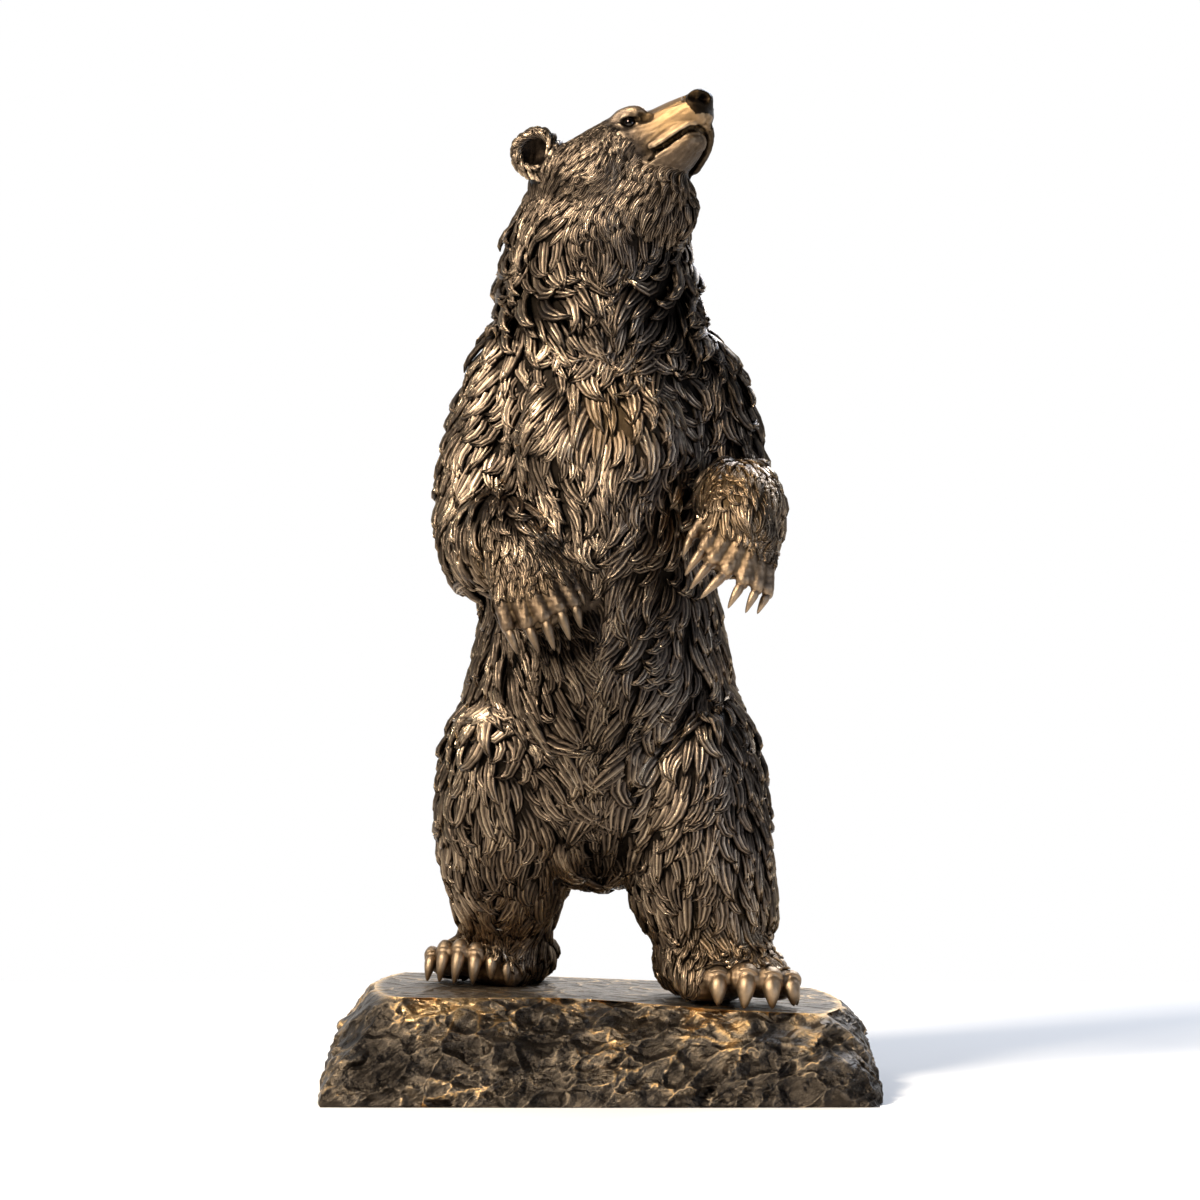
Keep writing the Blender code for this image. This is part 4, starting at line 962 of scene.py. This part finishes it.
def paintSkin(skin, places, lip):
    data = skin.data
    points = inShares(readArray(data.vertices, "co", 3))
    bare = bareness(points)
    crest = crestOf(skin) * np.clip(bare * 1.6 + 0.12, 0, 1)
    # Painted shade from the listed shaded places starts the dark attribute.
    dark = paintedShadeOf(points)
    local = (points - np.array(head["centre"])) @ np.array([headForward, headRight, headUp]).T
    pad = (local[:, 0] > padEdge(local)) & (local[:, 2] > -15)
    dark[pad] = 0.95
    # Painted shade on the far side of the lips, turned from the light.
    farLip = (local[:, 0] > 96) & (local[:, 1] < -8) & (local[:, 2] < -14)
    dark[farLip] = 0.8
    # Painted shade, deepening down the underside of the muzzle and jaw.
    dark = np.maximum(dark, 0.35 * np.clip((-26 - local[:, 2]) / 14, 0, 1) * (local[:, 0] > 84))
    # Painted shade in and round the nostrils, and in the hollow between each eye and the bridge of the muzzle.
    for side in (1, -1):
        forward, right, up = nose["nostril"]
        away = np.linalg.norm(local - np.array((forward, right * side, up)), axis=1)
        dark = np.maximum(dark, np.clip(2.2 - away / 4.5, 0, 1))
        inner = np.linalg.norm(local - np.array((104, 27 * side, 4)), axis=1)
        dark = np.maximum(dark, np.clip(1.2 - inner / 12, 0, 1) * 0.5)
    # Painted shade round each eye, under the brow.
    for middle, across, upright, outward in places:
        away = points - middle
        away = np.hypot(away @ across / eyes["length"], away @ upright / eyes["height"])
        dark = np.maximum(dark, np.clip(2.3 - away * 1.75, 0, 1) * 0.8)
    # Painted shade in and round the hollow of each ear.
    for place, side in zip(ears["places"], (1, -1)):
        away = np.linalg.norm(points - onHead(*place), axis=1)
        dark = np.maximum(dark, np.clip(1.9 - away / 17, 0, 1) * 0.85)
    # Painted shade along the line of the mouth.
    for place in lip:
        away = np.linalg.norm(points - np.array(place), axis=1)
        dark = np.maximum(dark, np.clip(2.2 - away / 2.6, 0, 1))
    for name, values in (("crest", crest), ("polish", polishAndPaintedLightOf(points)), ("dark", dark)):
        data.attributes.new(name, "FLOAT", "POINT").data.foreach_set("value", values.astype(np.float32))


def paintPiece(obj, dark=0.0, crest=None):
    points = inShares(readArray(obj.data.vertices, "co", 3))
    # Painted shade from the listed shaded places, on the fur and the claws.
    values = [("polish", polishAndPaintedLightOf(points)), ("dark", np.maximum(paintedShadeOf(points), dark))]
    if crest is not None:
        values.append(("crest", np.full(len(points), crest)))
    for name, numbers in values:
        obj.data.attributes.new(name, "FLOAT", "POINT").data.foreach_set("value", numbers.astype(np.float32))


def hexColour(text):  # sRGB hex to the linear values that a shader takes
    parts = [int(text[i:i + 2], 16) / 255 for i in (1, 3, 5)]
    return (*[p / 12.92 if p <= 0.04045 else ((p + 0.055) / 1.055) ** 2.4 for p in parts], 1.0)


def addNode(material, kind, settings=None, sockets=None):
    node = material.node_tree.nodes.new(kind)
    for name, value in (settings or {}).items():
        setattr(node, name, value)
    for name, value in (sockets or {}).items():
        if isinstance(value, bpy.types.NodeSocket):
            material.node_tree.links.new(value, node.inputs[name])
        else:
            node.inputs[name].default_value = value
    return node


def setRamp(node, stops):
    ramp = node.color_ramp
    while len(ramp.elements) > 1:
        ramp.elements.remove(ramp.elements[-1])
    for number, (place, colour) in enumerate(stops):
        element = ramp.elements[0] if number == 0 else ramp.elements.new(place)
        element.position = place
        element.color = hexColour(colour) if isinstance(colour, str) else (colour, colour, colour, 1)


def newMaterial(name):
    made = bpy.data.materials.new(name)
    made.use_nodes = True
    made.node_tree.nodes.clear()
    return made


def finishMaterial(made, colour, roughness, bump, metallic=1.0, coat=0.0):
    sockets = {"Base Color": colour, "Metallic": metallic, "Roughness": roughness}
    if bump is not None:
        sockets["Normal"] = bump
    if coat:
        sockets["Coat Weight"] = coat
    shader = addNode(made, "ShaderNodeBsdfPrincipled", sockets=sockets)
    addNode(made, "ShaderNodeOutputMaterial", sockets={"Surface": shader.outputs["BSDF"]})
    return made


patina = {"recess": "#120f0c", "low": "#2c251e", "mid": "#65574a", "high": "#a8937a", "crest": "#dcc9ab",
          "polished": "#bc9663", "rough": (0.47, 0.27), "bareRough": (0.52, 0.38)}


def patinatedBronze(name, strands):
    # Cast bronze under a brown liver-of-sulphur patina that is rubbed back to gold on the raised strands.
    made = newMaterial(name)
    place = addNode(made, "ShaderNodeTexCoord").outputs["Object"]
    crest = addNode(made, "ShaderNodeAttribute", {"attribute_name": "crest"}).outputs["Fac"]
    polish = addNode(made, "ShaderNodeAttribute", {"attribute_name": "polish"}).outputs["Fac"]
    dark = addNode(made, "ShaderNodeAttribute", {"attribute_name": "dark"}).outputs["Fac"]
    clouds = addNode(made, "ShaderNodeTexNoise", sockets={"Vector": place, "Scale": 4.5, "Detail": 4.0}).outputs["Fac"]
    mottle = addNode(made, "ShaderNodeTexNoise", sockets={"Vector": place, "Scale": 60.0, "Detail": 5.0,
                                                          "Roughness": 0.6}).outputs["Fac"]
    grain = addNode(made, "ShaderNodeTexNoise", sockets={"Vector": place, "Scale": 420.0, "Detail": 3.0}).outputs["Fac"]
    cloudy = addNode(made, "ShaderNodeMath", {"operation": "MULTIPLY_ADD"},
                     {0: clouds, 1: 0.5, 2: crest}).outputs[0]
    uneven = addNode(made, "ShaderNodeMath", {"operation": "MULTIPLY_ADD"},
                     {0: mottle, 1: 0.42, 2: cloudy}).outputs[0]
    strand = addNode(made, "ShaderNodeAttribute", {"attribute_name": "strand"}).outputs["Vector"]
    chance = addNode(made, "ShaderNodeSeparateXYZ", sockets={"Vector": strand}).outputs["Z"]
    level = addNode(made, "ShaderNodeMath", {"operation": "MULTIPLY_ADD"},
                    {0: chance, 1: 0.26 if strands else 0.0, 2: uneven}).outputs[0]
    level = addNode(made, "ShaderNodeMath", {"operation": "SUBTRACT"},
                    {0: level, 1: 0.6 if strands else 0.46}).outputs[0]
    tones = addNode(made, "ShaderNodeValToRGB", sockets={"Fac": level})
    setRamp(tones, ((0.0, patina["recess"]), (0.23, patina["low"]), (0.53, patina["mid"]), (0.8, patina["high"]),
                    (1.0, patina["crest"])))
    # The polish attribute turns the colour to gold: rubbed wear, and on the muzzle painted highlight on top and painted
    # shade below.
    shine = addNode(made, "ShaderNodeMath", {"operation": "MULTIPLY"}, {0: polish, 1: level}).outputs[0]
    shine = addNode(made, "ShaderNodeMath", {"operation": "MULTIPLY_ADD", "use_clamp": True},
                    {0: polish, 1: 0.35, 2: shine}).outputs[0]
    golden = addNode(made, "ShaderNodeMix", {"data_type": "RGBA"},
                     {"Factor": shine, "A": tones.outputs["Color"], "B": hexColour(patina["polished"])})
    # The dark attribute mixes in near-black: painted shade in the hollows of the face, under the body and on the side
    # from the light, and the nose pad's own dark bronze.
    black = addNode(made, "ShaderNodeMix", {"data_type": "RGBA"},
                    {"Factor": dark, "A": golden.outputs["Result"], "B": hexColour("#0d0805")})
    most, least = patina["rough" if strands else "bareRough"]
    rough = addNode(made, "ShaderNodeMapRange", sockets={"Value": level, "From Min": 0.1, "From Max": 0.9,
                                                         "To Min": most, "To Max": least})
    height = grain
    if strands:
        fine = addNode(made, "ShaderNodeTexNoise",
                       sockets={"Vector": addNode(made, "ShaderNodeMapping", sockets={
                           "Vector": strand, "Scale": (330.0, 16.0, 3.0)}).outputs["Vector"],
                           "Scale": 1.0, "Detail": 2.0}).outputs["Fac"]
        height = addNode(made, "ShaderNodeMath", {"operation": "MULTIPLY_ADD"},
                         {0: fine, 1: 2.6, 2: grain}).outputs[0]
    bump = addNode(made, "ShaderNodeBump", sockets={"Height": height, "Strength": 0.7, "Distance": 0.0018})
    return finishMaterial(made, black.outputs["Result"], rough.outputs["Result"], bump.outputs["Normal"])


def hewnBronze(name):
    # The base is cast from hewn stone: satin brown, with the ridges between its facets worn to gold.
    made = newMaterial(name)
    place = addNode(made, "ShaderNodeTexCoord").outputs["Object"]
    crest = addNode(made, "ShaderNodeAttribute", {"attribute_name": "crest"}).outputs["Fac"]
    clouds = addNode(made, "ShaderNodeTexNoise", sockets={"Vector": place, "Scale": 7.0, "Detail": 5.0,
                                                          "Roughness": 0.6}).outputs["Fac"]
    mottle = addNode(made, "ShaderNodeTexNoise", sockets={"Vector": place, "Scale": 90.0, "Detail": 4.0}).outputs["Fac"]
    grain = addNode(made, "ShaderNodeTexNoise", sockets={"Vector": place, "Scale": 380.0, "Detail": 3.0}).outputs["Fac"]
    cloudy = addNode(made, "ShaderNodeMath", {"operation": "MULTIPLY_ADD"},
                     {0: clouds, 1: 0.35, 2: crest}).outputs[0]
    uneven = addNode(made, "ShaderNodeMath", {"operation": "MULTIPLY_ADD"},
                     {0: mottle, 1: 0.3, 2: cloudy}).outputs[0]
    # Scallops of the chisel about 80 mm wide, with a thin ridge between two of them that is rubbed to gold.
    turned = addNode(made, "ShaderNodeMapping", {"vector_type": "TEXTURE"}, {
        "Vector": place, "Rotation": (0, math.radians(-rock["slant"]), 0), "Scale": (0.105, 0.09, 0.058)})
    wobble = addNode(made, "ShaderNodeTexNoise", sockets={"Vector": place, "Scale": 16.0, "Detail": 3.0}).outputs["Color"]
    wobbled = addNode(made, "ShaderNodeVectorMath", {"operation": "MULTIPLY_ADD"},
                      {0: wobble, 1: (0.9, 0.9, 0.9), 2: turned.outputs["Vector"]}).outputs["Vector"]
    scallop = addNode(made, "ShaderNodeTexVoronoi", {"feature": "DISTANCE_TO_EDGE"},
                      {"Vector": wobbled, "Scale": 1.0}).outputs["Distance"]
    ridge = addNode(made, "ShaderNodeMapRange", sockets={"Value": scallop, "From Min": 0.0, "From Max": 0.055,
                                                         "To Min": 1.0, "To Max": 0.0}).outputs["Result"]
    strong = addNode(made, "ShaderNodeMapRange", sockets={"Value": clouds, "From Min": 0.4, "From Max": 0.62,
                                                          "To Min": 0.08, "To Max": 0.5}).outputs["Result"]
    lined = addNode(made, "ShaderNodeMath", {"operation": "MULTIPLY_ADD"}, {0: ridge, 1: strong, 2: uneven}).outputs[0]
    level = addNode(made, "ShaderNodeMath", {"operation": "SUBTRACT"}, {0: lined, 1: 0.36}).outputs[0]
    hollow = addNode(made, "ShaderNodeMapRange", {"interpolation_type": "SMOOTHSTEP"},
                     {"Value": scallop, "From Min": 0.0, "From Max": 0.32, "To Min": 1.0, "To Max": 0.0})
    tones = addNode(made, "ShaderNodeValToRGB", sockets={"Fac": level})
    setRamp(tones, ((0.0, "#2b2621"), (0.25, "#4b433a"), (0.5, "#786a58"), (0.8, "#c09c6a"), (1.0, "#ecc890")))
    rough = addNode(made, "ShaderNodeMapRange", sockets={"Value": level, "From Min": 0.1, "From Max": 0.9,
                                                         "To Min": 0.44, "To Max": 0.32})
    # Fine marks of the chisel, drawn out down the slant.
    slanted = addNode(made, "ShaderNodeMapping", {"vector_type": "TEXTURE"}, {
        "Vector": place, "Rotation": (0, math.radians(-rock["slant"]), 0), "Scale": (0.03, 0.016, 0.0075)})
    marks = addNode(made, "ShaderNodeTexNoise", sockets={"Vector": slanted.outputs["Vector"], "Scale": 1.0,
                                                         "Detail": 4.0}).outputs["Fac"]
    cut = addNode(made, "ShaderNodeBump", sockets={"Height": hollow.outputs["Result"], "Strength": 1.0,
                                                   "Distance": 0.012})
    bump = addNode(made, "ShaderNodeBump", sockets={"Height": addNode(
        made, "ShaderNodeMath", {"operation": "MULTIPLY_ADD"}, {0: marks, 1: 3.0, 2: grain}).outputs[0],
        "Strength": 0.7, "Distance": 0.003, "Normal": cut.outputs["Normal"]})
    return finishMaterial(made, tones.outputs["Color"], rough.outputs["Result"], bump.outputs["Normal"])


def waxedEye(name):
    # The eyeballs are polished and waxed nearly black, so that they catch one small bright light.
    made = newMaterial(name)
    place = addNode(made, "ShaderNodeTexCoord").outputs["Object"]
    cloud = addNode(made, "ShaderNodeTexNoise", sockets={"Vector": place, "Scale": 160.0}).outputs["Fac"]
    tones = addNode(made, "ShaderNodeValToRGB", sockets={"Fac": cloud})
    setRamp(tones, ((0.3, "#0a0604"), (0.8, "#2a190c")))
    rough = addNode(made, "ShaderNodeMapRange", sockets={"Value": cloud, "To Min": 0.12, "To Max": 0.25})
    return finishMaterial(made, tones.outputs["Color"], rough.outputs["Result"], None, coat=0.6)


def paleFloor():
    deselectAll()
    bpy.ops.mesh.primitive_plane_add(size=12, location=(0, -3.3, 0))
    floor = bpy.context.object
    settle(floor)
    floor.name = "floor"
    made = newMaterial("pale_studio_paper")
    place = addNode(made, "ShaderNodeTexCoord").outputs["Object"]
    cloud = addNode(made, "ShaderNodeTexNoise", sockets={"Vector": place, "Scale": 0.4}).outputs["Fac"]
    tones = addNode(made, "ShaderNodeValToRGB", sockets={"Fac": cloud})
    setRamp(tones, ((0.3, "#eae8e5"), (0.7, "#efedea")))
    finishMaterial(made, tones.outputs["Color"], 0.8, None, metallic=0.0)
    floor.data.materials.append(made)


light = {"key": {"at": (-4.6, -4.6, 6.2), "size": 2.2, "power": 1430, "colour": "#fff4e4"},
         "fill": {"at": (5.2, -4.4, 2.2), "size": 2.4, "power": 130, "colour": "#cfe0ff"},
         "rim": {"at": (2.2, 4.8, 5.4), "size": 2.4, "power": 330, "colour": "#e4eeff"},
         "back": "#ffffff", "front": "#3f4652", "worldPower": 1.0}


def addLights():
    for name in ("key", "fill", "rim"):
        values = light[name]
        data = bpy.data.lights.new(name, "AREA")
        data.size = values["size"]
        data.energy = values["power"]
        data.color = hexColour(values["colour"])[:3]
        lamp = bpy.data.objects.new(name, data)
        lamp.location = values["at"]
        lamp.rotation_euler = (Vector((0, 0, 1.1)) - Vector(values["at"])).to_track_quat("-Z", "Y").to_euler()
        bpy.context.scene.collection.objects.link(lamp)
    world = bpy.data.worlds.new("studio")
    world.use_nodes = True
    tree = world.node_tree
    background = tree.nodes["Background"]
    background.inputs["Strength"].default_value = light["worldPower"]
    way = tree.nodes.new("ShaderNodeTexCoord")
    parts = tree.nodes.new("ShaderNodeSeparateXYZ")
    tones = tree.nodes.new("ShaderNodeValToRGB")
    setRamp(tones, ((0.0, light["front"]), (0.55, light["front"]), (0.9, light["back"])))
    spread = tree.nodes.new("ShaderNodeMapRange")
    spread.inputs["From Min"].default_value = -1
    tree.links.new(way.outputs["Generated"], parts.inputs["Vector"])
    tree.links.new(parts.outputs["Y"], spread.inputs["Value"])
    tree.links.new(spread.outputs["Result"], tones.inputs["Fac"])
    tree.links.new(tones.outputs["Color"], background.inputs["Color"])
    bpy.context.scene.world = world
    bpy.context.scene.view_settings.view_transform = "Standard"


def addCamera():
    data = bpy.data.cameras.new("camera")
    data.lens, data.sensor_width = 128.47, 36
    camera = bpy.data.objects.new("camera", data)
    camera.location = (0, -10, 1.1329)
    camera.rotation_euler = (math.pi / 2, 0, 0)
    bpy.context.scene.collection.objects.link(camera)
    bpy.context.scene.camera = camera


addCamera()
addLights()
paleFloor()

skin, eyePlaces, lipLine = buildSkin()
print("skin", len(skin.data.polygons), "faces")
fur = buildFur(skin)
clawPiece = buildClaws()
eyePiece = buildEyes(eyePlaces)
rockPiece = buildRock()
print("claws, eyes and rock made")

paintSkin(skin, eyePlaces, lipLine)
skin.data.materials.clear()
skin.data.materials.append(patinatedBronze("patinated_bronze_skin", False))
furBronze = patinatedBronze("patinated_bronze_fur", True)
for piece in fur:
    paintPiece(piece)
    piece.data.materials.append(furBronze)
paintPiece(clawPiece, crest=0.68)
clawPiece.data.materials.clear()
clawPiece.data.materials.append(patinatedBronze("rubbed_bronze_claws", False))
eyePiece.data.materials.clear()
eyePiece.data.materials.append(waxedEye("waxed_dark_bronze"))
rockPiece.data.materials.append(hewnBronze("hewn_bronze"))

for piece in (skin, clawPiece, eyePiece, *fur):
    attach(piece, "root")
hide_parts("bear")
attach(rockPiece, "root")
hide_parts("rock_base")
deselectAll()
print("materials set")
